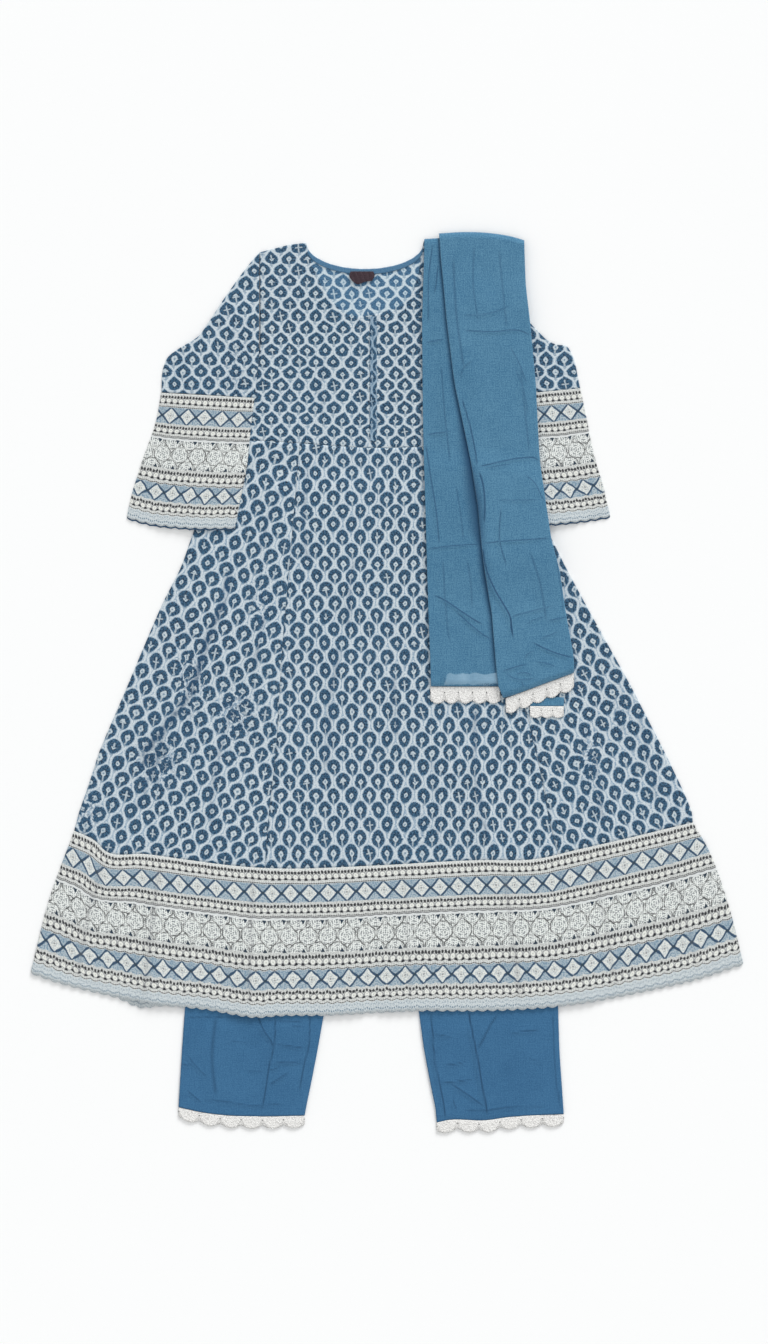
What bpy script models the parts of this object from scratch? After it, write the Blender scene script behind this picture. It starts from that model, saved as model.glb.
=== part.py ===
"""A kurta set laid flat on a surface: kurta, trousers and folded dupatta.

Lengths are in millimetres in the tables and in metres in Blender. X runs to the right of the set as it lies,
Y runs up to the neck, and Z is up from the surface. The origin is under the middle of the whole set.
"""

import math

import bmesh
import bpy
import numpy as np

METRES = 0.001

# Cloth
WALL = 1.0
GAP = 0.3
LAYER = WALL + GAP
TUBE_HEIGHT = WALL + LAYER
TUBE_EDGE = 1.5

# Whole set
SET_NAME = "kurta_set"
MIDDLE_SHIFT = (0.0, -2.0)

# Trousers: outlines of both legs at each height, from the waist down
LEG_ROWS = {
    "y": [246, 171, 66, -9, -174, -324, -483, -550, -604, -645],
    "left_outer": [-204, -243, -271.5, -279, -285, -292.5, -302.6, -307.2, -310.6, -312.8],
    "left_inner": [-23.3, -23.3, -23.3, -23.3, -47.7, -69.8, -92.5, -104.2, -114.8, -123.5],
    "right_inner": [-23.3, -23.3, -23.3, -23.3, 1.1, 23.3, 46, 55.2, 65.4, 74],
    "right_outer": [157.5, 196.5, 226.5, 234, 240, 247.5, 256.5, 258.4, 262.2, 265],
}
WAIST_TOP = 246
WAISTBAND_HEIGHT = 36
LEG_HEM_LEFT = [(-312.5, -634.5), (-272, -643), (-234, -647), (-195.5, -648), (-123.5, -647)]
LEG_HEM_RIGHT = [(74.5, -657.5), (90, -654), (148, -654), (181, -649.5), (265, -644.7)]
LEG_LACE_DEPTH = 12.0
LEG_LACE_WAVE = 7.0
LEG_LACE_WAVES = 6
LACE_EDGE_CUTS = 5
LEG_GRID_ROWS = 12
WAISTBAND_GRID = (8, 2)

# The kurta is lifted over the trousers and comes down to the surface outside them
OVER_TROUSERS = TUBE_HEIGHT + GAP
LIFT_FULL = 40
LIFT_RAMP = 40
NEXT_LAYER_REACH = 30

# Kurta bodice; its right side mirrors the left
BODICE_AXIS = -28.5
ARMHOLE_AND_SIDE = [
    (-191, 647), (-190.5, 575), (-190.5, 508), (-195, 482), (-210, 452), (-247, 425), (-246, 366),
]
SHOULDER = [(-191, 647), (-147, 658.5), (-120.9, 661.5)]
RIGHT_SHOULDER = [(54.9, 664.5), (90, 661), (134, 647)]
FRONT_NECK = [
    (-120.9, 661.5), (-114, 633), (-109.5, 621), (-97.5, 597), (-84, 576), (-67.5, 559.5), (-52.5, 552),
    (-22.5, 554), (-3, 558), (17, 564), (33, 579), (45, 606), (51, 633), (54.9, 664.5),
]
NECK_MIDDLE = -33
NECK_HALF_WIDTH = NECK_MIDDLE - SHOULDER[-1][0]
BACK_NECK_DROP = 39
WAIST_SEAM = [(-246, 366), (-190, 364.5), (-100, 358.5), (-18, 354), (50, 355.5), (189, 359)]
SHOULDER_COLUMNS = 3
NECK_COLUMNS = 18
BODICE_GRID_ROWS = 6
PLACKET_WIDTH = 10.5
PLACKET_X = -20.5
PLACKET_Y = (364, 551)
FACING_WIDTH = 8
FACING_HALF_SPAN = 47
LABEL_SIZE = (38, 14)
LABEL_CENTRE = (-37.5, 611.5)

# Kurta skirt: side edges and panel seams at each height, from the waist seam down
SKIRT_ROWS = {
    "y": [366, 229.5, 176, 119, 63, -5, -97.5, -150, -190, -214, -290],
    "left_side": [-246, -289.5, -308, -337.5, -361.5, -390, -430, -447, -461, -467.5, -487],
    "left_seam": [-130.5, -142, -146.6, -151.6, -156.5, -161, -166.3, -172.2, -176.8, -179, -184],
    "right_seam": [112, 143, 155.7, 169.3, 182.8, 199, 222, 233.5, 240, 245, 265],
    "right_side": [189, 241, 267.3, 297.8, 329, 366.5, 413.8, 439.3, 457, 459, 480],
}
SKIRT_PANELS = [
    ("left", "left_side", "left_seam", 12),
    ("centre", "left_seam", "right_seam", 15),
    ("right", "right_seam", "right_side", 9),
]
BORDER_TOP = [
    (-469, -220), (-438, -235), (-422, -250.5), (-361.5, -255), (-296, -264), (-223.5, -273), (-150.6, -276.8),
    (-78, -275), (0, -271.2), (135, -264), (226, -262), (280.5, -249.5), (353, -233), (458.4, -207.6),
]
HEM = [
    (-534.2, -431.7), (-497, -445), (-440, -460), (-394, -470), (-352, -477.6), (-264, -487), (-226, -494),
    (-195, -497.7), (-165, -495.5), (-96, -494.7), (-10, -490.5), (48, -488), (132, -488), (197, -486),
    (256, -481.5), (316.5, -473), (389, -458.6), (462, -442), (534.2, -418.5),
]
BORDER_LEFT_BULGE = (-505.5, -319.5)
BORDER_RIGHT_BULGE = [(480, -244.5), (512, -331.5)]
BACK_HEM_PEEK = {"x": -371, "half_width": 24, "drop": 9}
SKIRT_GRID_ROWS = 14
BORDER_GRID_ROWS = 3
HEM_SCALLOPS = 72
HEM_EDGE_CUTS = 3
HEM_SCALLOP_DEPTH = 3.0

# Soft folds of the kurta's front: a line of three points, how wide and high, and whether it runs out at the hem
FOLD_COLUMNS = ("top", "middle", "end", "half_width", "height", "to_hem")
FOLDS = [
    ((-237, 150), (-284, 20), (-366, -118), 24, 3.2, False),
    ((-52, 190), (-58, 130), (-62, 70), 22, 2.0, False),
    ((6, 20), (9, -40), (14, -120), 22, 1.8, False),
    ((-184, 110), (-192, 60), (-204, 10), 22, 2.0, False),
    ((129, -80), (132, -170), (152, -270), 22, 2.6, False),
    ((304, -90), (314, -160), (330, -260), 24, 2.4, False),
    ((-330, -300), (-352, -390), (-372, -490), 26, 2.2, True),
    ((-205, -330), (-208, -420), (-210, -510), 26, 2.4, True),
]
FOLD_FADE = 45

# Sleeves and cuffs
LEFT_SLEEVE_OUTER = [
    (-191.5, 647), (-202, 635), (-240, 584), (-270.5, 538), (-282, 522), (-290.6, 515.4), (-312, 503),
    (-330, 488), (-335, 475.5), (-338.3, 437.4),
]
RIGHT_SLEEVE_OUTER = [
    (134.5, 647), (146, 634), (182, 583), (215, 541), (228, 527), (241, 515), (254, 509), (269.5, 506.5),
    (276, 497), (287, 456), (289.5, 443.6),
]
LEFT_ARMHOLE = [(-191.5, 647), (-192, 486)]
LEFT_UNDERARM = [(-192, 486), (-198.5, 429)]
LEFT_CUFF_OUTER = [(-338.6, 436.5), (-346, 396), (-367, 335), (-385.5, 273.6), (-390, 251.7)]
LEFT_CUFF_INNER = [(-198.5, 428.7), (-204.6, 379.5), (-210, 326), (-222, 264.6), (-227.6, 235)]
LEFT_CUFF_HEM = [(-390, 251.7), (-373, 246), (-293.4, 235), (-227.6, 235)]
RIGHT_CUFF_OUTER = [(289.8, 443.3), (297.5, 407.3), (311.6, 339), (323.6, 298.8), (334.5, 253)]
RIGHT_CUFF_HEM = [(170.6, 235), (245, 241), (300, 247), (334.5, 253)]
SLEEVE_GRID = (7, 9)
CUFF_GRID_ROWS = 5
CUFF_SCALLOPS = 11
CUFF_SCALLOP_DEPTH = 2.5
CUFF_BACK_LONGER = 4.0
SIDE_UNDER_SLEEVE = {"y": [425, 366, 229.5], "x": [-247, -246, -289.5]}
SLEEVE_LIFT_FROM = 600
SLEEVE_LIFT_TO = 550

# Dupatta: folded stack in two stretches, then its lace ends
DUPATTA_ROWS = {
    "y": [674, 640, 595, 543, 451, 359, 328, 267, 214, 172, 103, 40, 18, -3, -21],
    "left": [54, 53.5, 52, 50.7, 51.5, 53, 54, 56, 57.5, 58.8, 61, 63.6, 64.3, 65, 66],
    "fold": [81.6, 84, 88.5, 93, 104.5, 124, 130, 139.5, 144.5, 149.5, 161, 166, 168, 170.5, 177.8],
    "right": [204, 205, 207, 213.5, 222.5, 227.5, 230, 239.3, 247.5, 259.5, 270, 282, 282, 281, 280],
}
LEFT_STRETCH_TOP = [(55, 666.9), (81.3, 668.5)]
LEFT_STRETCH_END = [(65, -3.5), (170, -3.5)]
RIGHT_STRETCH_TOP = [(81.9, 675.3), (110.7, 677.2), (156.6, 675.5), (187, 670.5), (206, 665)]
RIGHT_STRETCH_END = [(177.8, -21), (280.2, 17)]
LEFT_STRETCH_HEIGHT = 5.0
RIGHT_STRETCH_HEIGHT = 8.0
LEFT_STRETCH_COLUMNS = 4
RIGHT_STRETCH_COLUMNS = 7
STACK_LAYERS = 3
STACK_INSET = 2.5
STACK_GROOVE = 1.2
STACK_ROWS = 18
STACK_END = 0.012
STACK_END_HEIGHT = 0.45
UNDER_END = {"x": (214, 265), "y": (-20, -33)}
UNDER_LACE_DEPTH = 14
DUPATTA_LACE_DEPTH = 20
DUPATTA_LACE_WAVE = 6
DUPATTA_LACE_WAVES = 5
UNDER_LACE_WAVE = 4
UNDER_LACE_WAVES = 3
OVER_KURTA = TUBE_HEIGHT + GAP
OVER_SLEEVE = 2.9
OVER_SLEEVE_X = (55, 110)
OVER_SLEEVE_Y = (120, 200, 560, 625)

COLOURS = {
    "print": (0.20, 0.29, 0.36),
    "border": (0.48, 0.54, 0.57),
    "dupatta": (0.075, 0.21, 0.34),
    "trousers": (0.048, 0.16, 0.30),
    "facing": (0.07, 0.19, 0.30),
    "label": (0.01, 0.01, 0.012),
    "lace": (0.75, 0.74, 0.71),
}


def clear_scene():
    for thing in list(bpy.data.objects):
        bpy.data.objects.remove(thing)


def cloth_material(name):
    """A plain cloth colour for one kind of cloth."""
    material = bpy.data.materials.get(name) or bpy.data.materials.new(name)
    material.use_nodes = True
    shader = material.node_tree.nodes["Principled BSDF"]
    shader.inputs["Base Color"].default_value = (*COLOURS[name], 1.0)
    shader.inputs["Roughness"].default_value = 0.85
    shader.inputs["Metallic"].default_value = 0.0
    return material


class Line:
    """A line through points, smooth or straight between them, read by its share of the length."""

    SAMPLES = 16

    def __init__(self, points, smooth=True):
        points = np.array(points, float)
        steps = np.hypot(*np.diff(points, axis=0).T)
        knots = np.concatenate([[0.0], np.cumsum(steps)])
        places = np.linspace(0.0, knots[-1], (len(points) - 1) * self.SAMPLES + 1)
        places = np.union1d(places, knots)
        if smooth and len(points) > 2:
            slopes = np.gradient(points, knots, axis=0)
            self.points = hermite(knots, points, slopes, places)
        else:
            self.points = np.column_stack([np.interp(places, knots, axis) for axis in points.T])
        lengths = np.concatenate([[0.0], np.cumsum(np.hypot(*np.diff(self.points, axis=0).T))])
        self.shares = lengths / lengths[-1]

    def __call__(self, share):
        return np.array([np.interp(share, self.shares, axis) for axis in self.points.T])

    def moved(self, x=0.0, y=0.0):
        return Line(self.points + (x, y), smooth=False)

    def between(self, x_from, x_to):
        """The stretch between two X values, on a line that runs one way along X."""
        inner = self.points[:, 0][(self.points[:, 0] > x_from) & (self.points[:, 0] < x_to)]
        x = np.concatenate([[x_from], inner, [x_to]])
        y = np.interp(x, *self.points.T)
        return Line(np.column_stack([x, y]), smooth=False)


def hermite(knots, points, slopes, places):
    index = np.clip(np.searchsorted(knots, places, side="right") - 1, 0, len(knots) - 2)
    width = (knots[index + 1] - knots[index])[:, None]
    u = (places[:, None] - knots[index][:, None]) / width
    start = (2 * u**3 - 3 * u**2 + 1) * points[index] + (u**3 - 2 * u**2 + u) * width * slopes[index]
    end = (3 * u**2 - 2 * u**3) * points[index + 1] + (u**3 - u**2) * width * slopes[index + 1]
    return start + end


def column_line(rows, name, y_from, y_to, count=40):
    """One named column of a table of rows, as a line from one height to another."""
    y = np.linspace(y_from, y_to, count)
    x = np.interp(-y, -np.array(rows["y"], float), rows[name])
    return Line(np.column_stack([x, y]), smooth=False)


def mirrored(line):
    points = line.points.copy()
    points[:, 0] = 2 * BODICE_AXIS - points[:, 0]
    return Line(points, smooth=False)


def patch(left, right, top, bottom):
    """Fills four lines: across runs left to right, down runs top to bottom."""
    corners = (left(0.0), right(0.0), left(1.0), right(1.0))

    def place(across, down):
        sides = (1 - across) * left(down) + across * right(down)
        ends = (1 - down) * top(across) + down * bottom(across)
        upper = (1 - across) * corners[0] + across * corners[1]
        lower = (1 - across) * corners[2] + across * corners[3]
        return sides + ends - (1 - down) * upper - down * lower

    return place


def past_end(shape, share, distance):
    """A place beyond the lower end of a shape, straight on from its last stretch."""
    end = shape(share, 1.0)
    run = end - shape(share, 0.95)
    return end + run * distance / math.hypot(*run)


def ease(value, start, end):
    """Goes smoothly from 0 at start to 1 at end."""
    share = min(max((value - start) / (end - start), 0.0), 1.0)
    return share * share * (3 - 2 * share)


def outside_trousers(x, y):
    """How far a place lies outside the trousers' outline."""
    heights = -np.array(LEG_ROWS["y"], float)
    edges = [np.interp(-y, heights, LEG_ROWS[name]) for name in list(LEG_ROWS)[1:]]
    across = min(max(edges[0] - x, x - edges[1]), max(edges[2] - x, x - edges[3]))
    return math.hypot(max(across, 0.0), max(y - WAIST_TOP, 0.0))


def over_trousers(x, y, reach=0.0):
    away = outside_trousers(x, y) - reach
    return OVER_TROUSERS * (1 - ease(away, LIFT_FULL, LIFT_FULL + LIFT_RAMP))


def fold_height(x, y):
    """The tallest of the soft folds at a place."""
    height = 0.0
    for row in FOLDS:
        fold = dict(zip(FOLD_COLUMNS, row))
        points = np.array([fold["top"], fold["middle"], fold["end"]], float)
        runs = np.hypot(*np.diff(points, axis=0).T)
        for index in range(2):
            start = points[index]
            step = points[index + 1] - start
            share = min(max(np.dot((x, y) - start, step) / runs[index] ** 2, 0.0), 1.0)
            away = math.hypot(*((x, y) - start - share * step))
            along = share * runs[index] + index * runs[0]
            fade = ease(along, 0.0, FOLD_FADE)
            if not fold["to_hem"]:
                fade *= ease(runs.sum() - along, 0.0, FOLD_FADE)
            height = max(height, fold["height"] * fade * math.exp(-((away / fold["half_width"]) ** 2)))
    return height


def kurta_back(x, y):
    return over_trousers(x, y)


def kurta_front(x, y):
    return over_trousers(x, y) + LAYER + fold_height(x, y)


def sleeve_base(x, y):
    """The underside of a sleeve or cuff: level with the bodice at the top, then lying over the kurta."""
    left_x = x if x < BODICE_AXIS else 2 * BODICE_AXIS - x
    away = np.interp(-y, -np.array(SIDE_UNDER_SLEEVE["y"], float), SIDE_UNDER_SLEEVE["x"]) - left_x
    lift = (1 - ease(away, LIFT_FULL, LIFT_FULL + LIFT_RAMP)) * ease(-y, -SLEEVE_LIFT_FROM, -SLEEVE_LIFT_TO)
    return lift * (OVER_KURTA + over_trousers(x, y, NEXT_LAYER_REACH))


def dupatta_base(x, y):
    """The underside of the dupatta, over the kurta and over the right sleeve."""
    low, full, level, start = OVER_SLEEVE_Y
    over_sleeve = ease(x, *OVER_SLEEVE_X) * ease(y, low, full) * (1 - ease(y, level, start))
    return OVER_KURTA + over_trousers(x, y, NEXT_LAYER_REACH) + OVER_SLEEVE * over_sleeve


def warped_grid(name, across, down, place, kind, edge_cuts=0, weld=False, caps=()):
    """A grid bent to shape: across and down list the shares of its lines, place gives each point in mm.

    A welded grid closes round on itself. Caps list the columns of each face that closes its two ends.
    """
    mesh = bpy.data.meshes.new(name)
    form = bmesh.new()
    columns = len(across) - 1
    rows = len(down) - 1
    bmesh.ops.create_grid(form, x_segments=columns, y_segments=rows, size=0.5)
    if edge_cuts:
        low = -0.5 + 0.25 / rows
        edge = [e for e in form.edges if all(v.co.y < low for v in e.verts)]
        bmesh.ops.subdivide_edges(form, edges=edge, cuts=edge_cuts)
    end_points = {0: {}, rows: {}}
    for vertex in form.verts:
        column = (vertex.co.x + 0.5) * columns
        row = (0.5 - vertex.co.y) * rows
        if round(row) in end_points:
            end_points[round(row)][round(column)] = vertex
        share = np.interp(column, range(columns + 1), across)
        depth = np.interp(row, range(rows + 1), down)
        x, y, z = place(share, depth)
        vertex.co = ((x + MIDDLE_SHIFT[0]) * METRES, (y + MIDDLE_SHIFT[1]) * METRES, z * METRES)
    for points in end_points.values():
        for face in caps:
            form.faces.new([points[column] for column in face])
    if weld:
        bmesh.ops.remove_doubles(form, verts=form.verts, dist=1e-6)
    if caps:
        bmesh.ops.recalc_face_normals(form, faces=form.faces)
    form.to_mesh(mesh)
    form.free()
    mesh.shade_smooth()
    thing = bpy.data.objects.new(name, mesh)
    mesh.materials.append(cloth_material(kind))
    bpy.data.collections[SET_NAME].objects.link(thing)
    return thing


def give_wall(thing, side):
    """Makes a wall of an open surface: side 1 grows it outward, -1 inward."""
    wall = thing.modifiers.new("Wall", "SOLIDIFY")
    wall.thickness = WALL * METRES
    wall.offset = side


def even(count):
    return np.linspace(0.0, 1.0, count + 1)


def panel(name, shape, height, across, down, kind, scallops=0, scallop_depth=0.0, edge_cuts=0):
    """A flat piece of cloth, one wall thick, its lower edge scalloped if asked."""

    def place(share, depth):
        x, y = shape(share, depth)
        if scallops and depth > 1 - 1e-6:
            turn = np.interp(share, across, even(len(across) - 1)) * scallops
            x, y = past_end(shape, share, scallop_depth * abs(math.sin(math.pi * turn)))
        return x, y, height(x, y)

    give_wall(warped_grid(name, across, down, place, kind, edge_cuts), 1)


def section_ring(columns, edge_inset, side_levels, side_insets):
    """Points round a closed section: share across, inset from the nearer edge, and level from 0 to 1."""
    left = [(0.0, inset, level) for inset, level in zip(side_insets, side_levels)]
    top = [(share, edge_inset, 1.0) for share in even(columns)]
    right = [(1.0, inset, level) for _, inset, level in left[::-1]]
    bottom = [(share, edge_inset, 0.0) for share in even(columns)[::-1]]
    return left + top + right + bottom


def ring_grid(name, shape, base, thickness, ring, down, kind, edge_cuts=0, caps=()):
    """A closed section carried down a shape. With edge cuts its lower end is scalloped, as on a cuff."""
    count = len(ring)
    shares, insets, levels = ([*column, column[0]] for column in zip(*ring))

    def place(turn, depth):
        at = (turn * count) % count
        share, inset, level = (np.interp(at, range(count + 1), column) for column in (shares, insets, levels))
        width = math.hypot(*(shape(1.0, depth) - shape(0.0, depth)))
        share = inset / width + share * (1 - 2 * inset / width)
        x, y = shape(share, depth)
        if edge_cuts and depth > 1 - 1e-6:
            out = CUFF_SCALLOP_DEPTH * abs(math.sin(math.pi * at)) + CUFF_BACK_LONGER * (1 - level)
            x, y = past_end(shape, share, out)
        return x, y, base(x, y) + level * thickness(depth)

    return warped_grid(name, even(count), down, place, kind, edge_cuts, weld=True, caps=caps)


def flat_tube(name, shape, base, columns, rows, kind, edge_cuts=0):
    """A sleeve, cuff or band: two layers of cloth joined at both edges, open at both ends."""
    ring = section_ring(columns, TUBE_EDGE, [0.5], [0.0])
    thing = ring_grid(name, shape, base, lambda depth: TUBE_HEIGHT, ring, even(rows), kind, edge_cuts)
    give_wall(thing, -1)


def stack(name, shape, height, columns, kind):
    """Folded layers as one solid: rounded over, with grooves between the layers at both edges."""
    steps = range(1, 2 * STACK_LAYERS)
    levels = [step / (2 * STACK_LAYERS) for step in steps]
    grooves = [0.0 if step % 2 else STACK_GROOVE for step in steps]
    ring = section_ring(columns, STACK_INSET, levels, grooves)
    end = np.array([0.0, 0.3, 1.0]) * STACK_END
    middle = np.linspace(2.5 * STACK_END, 1 - 2.5 * STACK_END, STACK_ROWS)
    down = np.concatenate([end, middle, 1 - end[::-1]])

    def thickness(depth):
        inward = min(depth, 1 - depth, STACK_END) / STACK_END
        return height * (STACK_END_HEIGHT + (1 - STACK_END_HEIGHT) * math.sqrt(inward))

    caps = stack_caps(len(levels), columns)
    ring_grid(name, shape, dupatta_base, thickness, ring, down, kind, caps=caps)


def stack_caps(side_points, columns):
    """Faces that close a stack's end: one at each grooved edge, and a row of four-sided ones between."""
    first_top = side_points
    first_right = first_top + columns + 1
    first_bottom = first_right + side_points
    last = first_bottom + columns
    left = [last, *range(side_points), first_top]
    right = list(range(first_right - 1, first_bottom + 1))
    middle = [(first_top + i, first_top + i + 1, last - i - 1, last - i) for i in range(columns)]
    return [left, right, *middle]


def lace(name, top, depth, wave, waves, base):
    """A strip of lace below an edge, its lower side in waves."""
    upper = top.moved(y=-GAP)
    lower = top.moved(y=-GAP - depth)
    left = Line([upper(0.0), lower(0.0)], smooth=False)
    right = Line([upper(1.0), lower(1.0)], smooth=False)
    panel(name, patch(left, right, upper, lower), base, even(waves), even(1), "lace",
          scallops=waves, scallop_depth=wave, edge_cuts=LACE_EDGE_CUTS)


def build_trousers():
    for side, outer, inner, hem in (
        ("left", "left_outer", "left_inner", LEG_HEM_LEFT),
        ("right", "right_outer", "right_inner", LEG_HEM_RIGHT),
    ):
        hem_line = Line(hem)
        top_y = WAIST_TOP - WAISTBAND_HEIGHT - GAP
        is_left = side == "left"
        names = (outer, inner) if is_left else (inner, outer)
        ends = (hem[0][1], hem[-1][1])
        edges = [column_line(LEG_ROWS, name, top_y, end) for name, end in zip(names, ends)]
        shift = -GAP / 2 if is_left else GAP / 2
        edges = [edge.moved(x=shift) for edge in edges]
        top = Line([edges[0](0.0), edges[1](0.0)], smooth=False)
        hem_line = hem_line.moved(x=shift)
        shape = patch(edges[0], edges[1], top, hem_line)
        across, down = even(LEG_LACE_WAVES), even(LEG_GRID_ROWS)
        size = LEG_LACE_DEPTH, LEG_LACE_WAVE, LEG_LACE_WAVES
        for layer, level in (("back", 0.0), ("front", LAYER)):
            height = lambda x, y, level=level: level
            panel(f"trouser_{layer}_{side}", shape, height, across, down, "trousers")
            lace(f"trouser_lace_{layer}_{side}", hem_line, *size, height)
    band_top, band_low = WAIST_TOP, WAIST_TOP - WAISTBAND_HEIGHT
    left = column_line(LEG_ROWS, "left_outer", band_top, band_low)
    right = column_line(LEG_ROWS, "right_outer", band_top, band_low)
    top = Line([left(0.0), right(0.0)], smooth=False)
    low = Line([left(1.0), right(1.0)], smooth=False)
    shape = patch(left, right, top, low)
    flat_tube("trouser_waistband", shape, lambda x, y: 0.0, *WAISTBAND_GRID, "trousers")


def bodice_shape(neck):
    """The bodice between its neckline, sides and waist, and where across its top the neck points fall."""
    points = np.vstack([SHOULDER[:-1], neck.points, RIGHT_SHOULDER])
    steps = np.hypot(*np.diff(points, axis=0).T)
    shares = np.concatenate([[0.0], np.cumsum(steps)]) / steps.sum()
    side = Line(ARMHOLE_AND_SIDE, smooth=False)
    waist = Line(WAIST_SEAM).moved(y=GAP / 2)
    neck_points = shares[len(SHOULDER) - 1], shares[-len(RIGHT_SHOULDER)]
    return patch(side, mirrored(side), Line(points, smooth=False), waist), neck_points


def spread(neck_points):
    """Shares across, with a line exactly at each neck point."""
    left, right = neck_points
    before = np.linspace(0.0, left, SHOULDER_COLUMNS + 1)
    between = np.linspace(left, right, NECK_COLUMNS + 1)[1:-1]
    after = np.linspace(right, 1.0, SHOULDER_COLUMNS + 1)
    return np.concatenate([before, between, after])


def back_neck_line(half_span=NECK_HALF_WIDTH, sides=28):
    """The back neckline, a shallow half ellipse between the neck points, or its middle stretch."""
    across = np.linspace(-half_span, half_span, sides + 1)
    rise = np.sqrt(np.maximum(1 - (across / NECK_HALF_WIDTH) ** 2, 0.0))
    y = SHOULDER[-1][1] - BACK_NECK_DROP * rise
    return Line(np.column_stack([NECK_MIDDLE + across, y]), smooth=False)


def build_bodice():
    front, front_points = bodice_shape(Line(FRONT_NECK))
    back, back_points = bodice_shape(back_neck_line())
    rows = even(BODICE_GRID_ROWS)
    panel("front_bodice", front, kurta_front, spread(front_points), rows, "print")
    panel("back_bodice", back, kurta_back, spread(back_points), rows, "print")
    low, high = PLACKET_Y
    left = Line([(PLACKET_X - PLACKET_WIDTH / 2, high), (PLACKET_X - PLACKET_WIDTH / 2, low)], smooth=False)
    right = left.moved(x=PLACKET_WIDTH)
    top = Line([left(0.0), right(0.0)], smooth=False)
    strip = patch(left, right, top, top.moved(y=low - high))
    panel("front_placket", strip, lambda x, y: 2 * LAYER, even(1), even(6), "print")


def build_neck():
    upper = back_neck_line(FACING_HALF_SPAN).moved(y=-GAP)
    lower = upper.moved(y=-FACING_WIDTH)
    left = Line([upper(0.0), lower(0.0)], smooth=False)
    right = Line([upper(1.0), lower(1.0)], smooth=False)
    panel("neck_facing", patch(left, right, upper, lower), lambda x, y: LAYER, even(12), even(1), "facing")
    wide, tall = LABEL_SIZE
    x, y = LABEL_CENTRE
    left = Line([(x - wide / 2, y + tall / 2), (x - wide / 2, y - tall / 2)], smooth=False)
    top = Line([left(0.0), left(0.0) + (wide, 0)], smooth=False)
    shape = patch(left, left.moved(x=wide), top, top.moved(y=-tall))
    panel("neck_label", shape, lambda x, y: 2 * LAYER, even(2), even(1), "label")


def skirt_side(name, waist, border, shift):
    """A side edge or seam of the skirt, from the waist seam to where it meets the border."""
    heights = -np.array(SKIRT_ROWS["y"], float)
    start = np.interp(SKIRT_ROWS[name][0], *waist.points.T)
    end = 0.0
    for _ in range(6):
        end = np.interp(np.interp(-end, heights, SKIRT_ROWS[name]), *border.points.T)
    return column_line(SKIRT_ROWS, name, start, end).moved(x=shift)


def build_skirt():
    waist = Line(WAIST_SEAM).moved(y=-GAP / 2)
    border = Line(BORDER_TOP).moved(y=GAP / 2)
    rows = even(SKIRT_GRID_ROWS)
    seam_x = []
    for part_name, left, right, columns in SKIRT_PANELS:
        sides = [skirt_side(left, waist, border, GAP / 2), skirt_side(right, waist, border, -GAP / 2)]
        upper = waist.between(sides[0](0.0)[0], sides[1](0.0)[0])
        lower = border.between(sides[0](1.0)[0], sides[1](1.0)[0])
        shape = patch(sides[0], sides[1], upper, lower)
        for layer, height in (("front", kurta_front), ("back", kurta_back)):
            panel(f"{layer}_skirt_{part_name}", shape, height, even(columns), rows, "print")
        seam_x += [float(lower(share)[0]) for share in even(columns)[1:]]
    return seam_x[:-1]


def build_borders(seam_x):
    """The hem bands; their columns meet the skirt's, so that both edges bend alike at the seam."""
    top = Line(BORDER_TOP).moved(y=-GAP / 2)
    hem = Line(HEM)
    left = Line([top(0.0), BORDER_LEFT_BULGE, hem(0.0)])
    right = Line([top(1.0), *BORDER_RIGHT_BULGE, hem(1.0)])
    shape = patch(left, right, top, hem)

    def back_shape(across, down):
        """The back band, which shows below the front one at one place."""
        x, y = shape(across, down)
        peek = math.exp(-(((x - BACK_HEM_PEEK["x"]) / BACK_HEM_PEEK["half_width"]) ** 2))
        return np.array([x, y - BACK_HEM_PEEK["drop"] * peek * down**8])

    across = np.concatenate([[0.0], np.interp(seam_x, top.points[:, 0], top.shares), [1.0]])
    for layer, outline, height in (("front", shape, kurta_front), ("back", back_shape, kurta_back)):
        panel(f"{layer}_hem_border", outline, height, across, even(BORDER_GRID_ROWS), "border",
              scallops=HEM_SCALLOPS, scallop_depth=HEM_SCALLOP_DEPTH, edge_cuts=HEM_EDGE_CUTS)


def build_sleeves():
    outer = Line(LEFT_SLEEVE_OUTER)
    armhole = Line(LEFT_ARMHOLE, smooth=False)
    underarm = Line(LEFT_UNDERARM, smooth=False)
    cuff_line = Line([outer(1.0), underarm(1.0)], smooth=False)
    flat_tube("sleeve_left", patch(outer, underarm, armhole, cuff_line), sleeve_base, *SLEEVE_GRID, "print")
    cuff_outer = Line(LEFT_CUFF_OUTER)
    cuff_inner = Line(LEFT_CUFF_INNER)
    cuff_top = Line([cuff_outer(0.0), cuff_inner(0.0)], smooth=False)
    cuff_hem = Line(LEFT_CUFF_HEM)
    shape = patch(cuff_outer, cuff_inner, cuff_top, cuff_hem)
    flat_tube("cuff_left", shape, sleeve_base, CUFF_SCALLOPS, CUFF_GRID_ROWS, "border", edge_cuts=1)

    right_outer = Line(RIGHT_SLEEVE_OUTER)
    right_armhole = Line(mirrored(armhole).points[::-1], smooth=False)
    right_underarm = mirrored(underarm)
    cuff_line = Line([right_underarm(1.0), right_outer(1.0)], smooth=False)
    shape = patch(right_underarm, right_outer, right_armhole, cuff_line)
    flat_tube("sleeve_right", shape, sleeve_base, *SLEEVE_GRID, "print")
    cuff_outer = Line(RIGHT_CUFF_OUTER)
    cuff_inner = mirrored(cuff_inner)
    cuff_top = Line([cuff_inner(0.0), cuff_outer(0.0)], smooth=False)
    shape = patch(cuff_inner, cuff_outer, cuff_top, Line(RIGHT_CUFF_HEM))
    flat_tube("cuff_right", shape, sleeve_base, CUFF_SCALLOPS, CUFF_GRID_ROWS, "border", edge_cuts=1)


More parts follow.
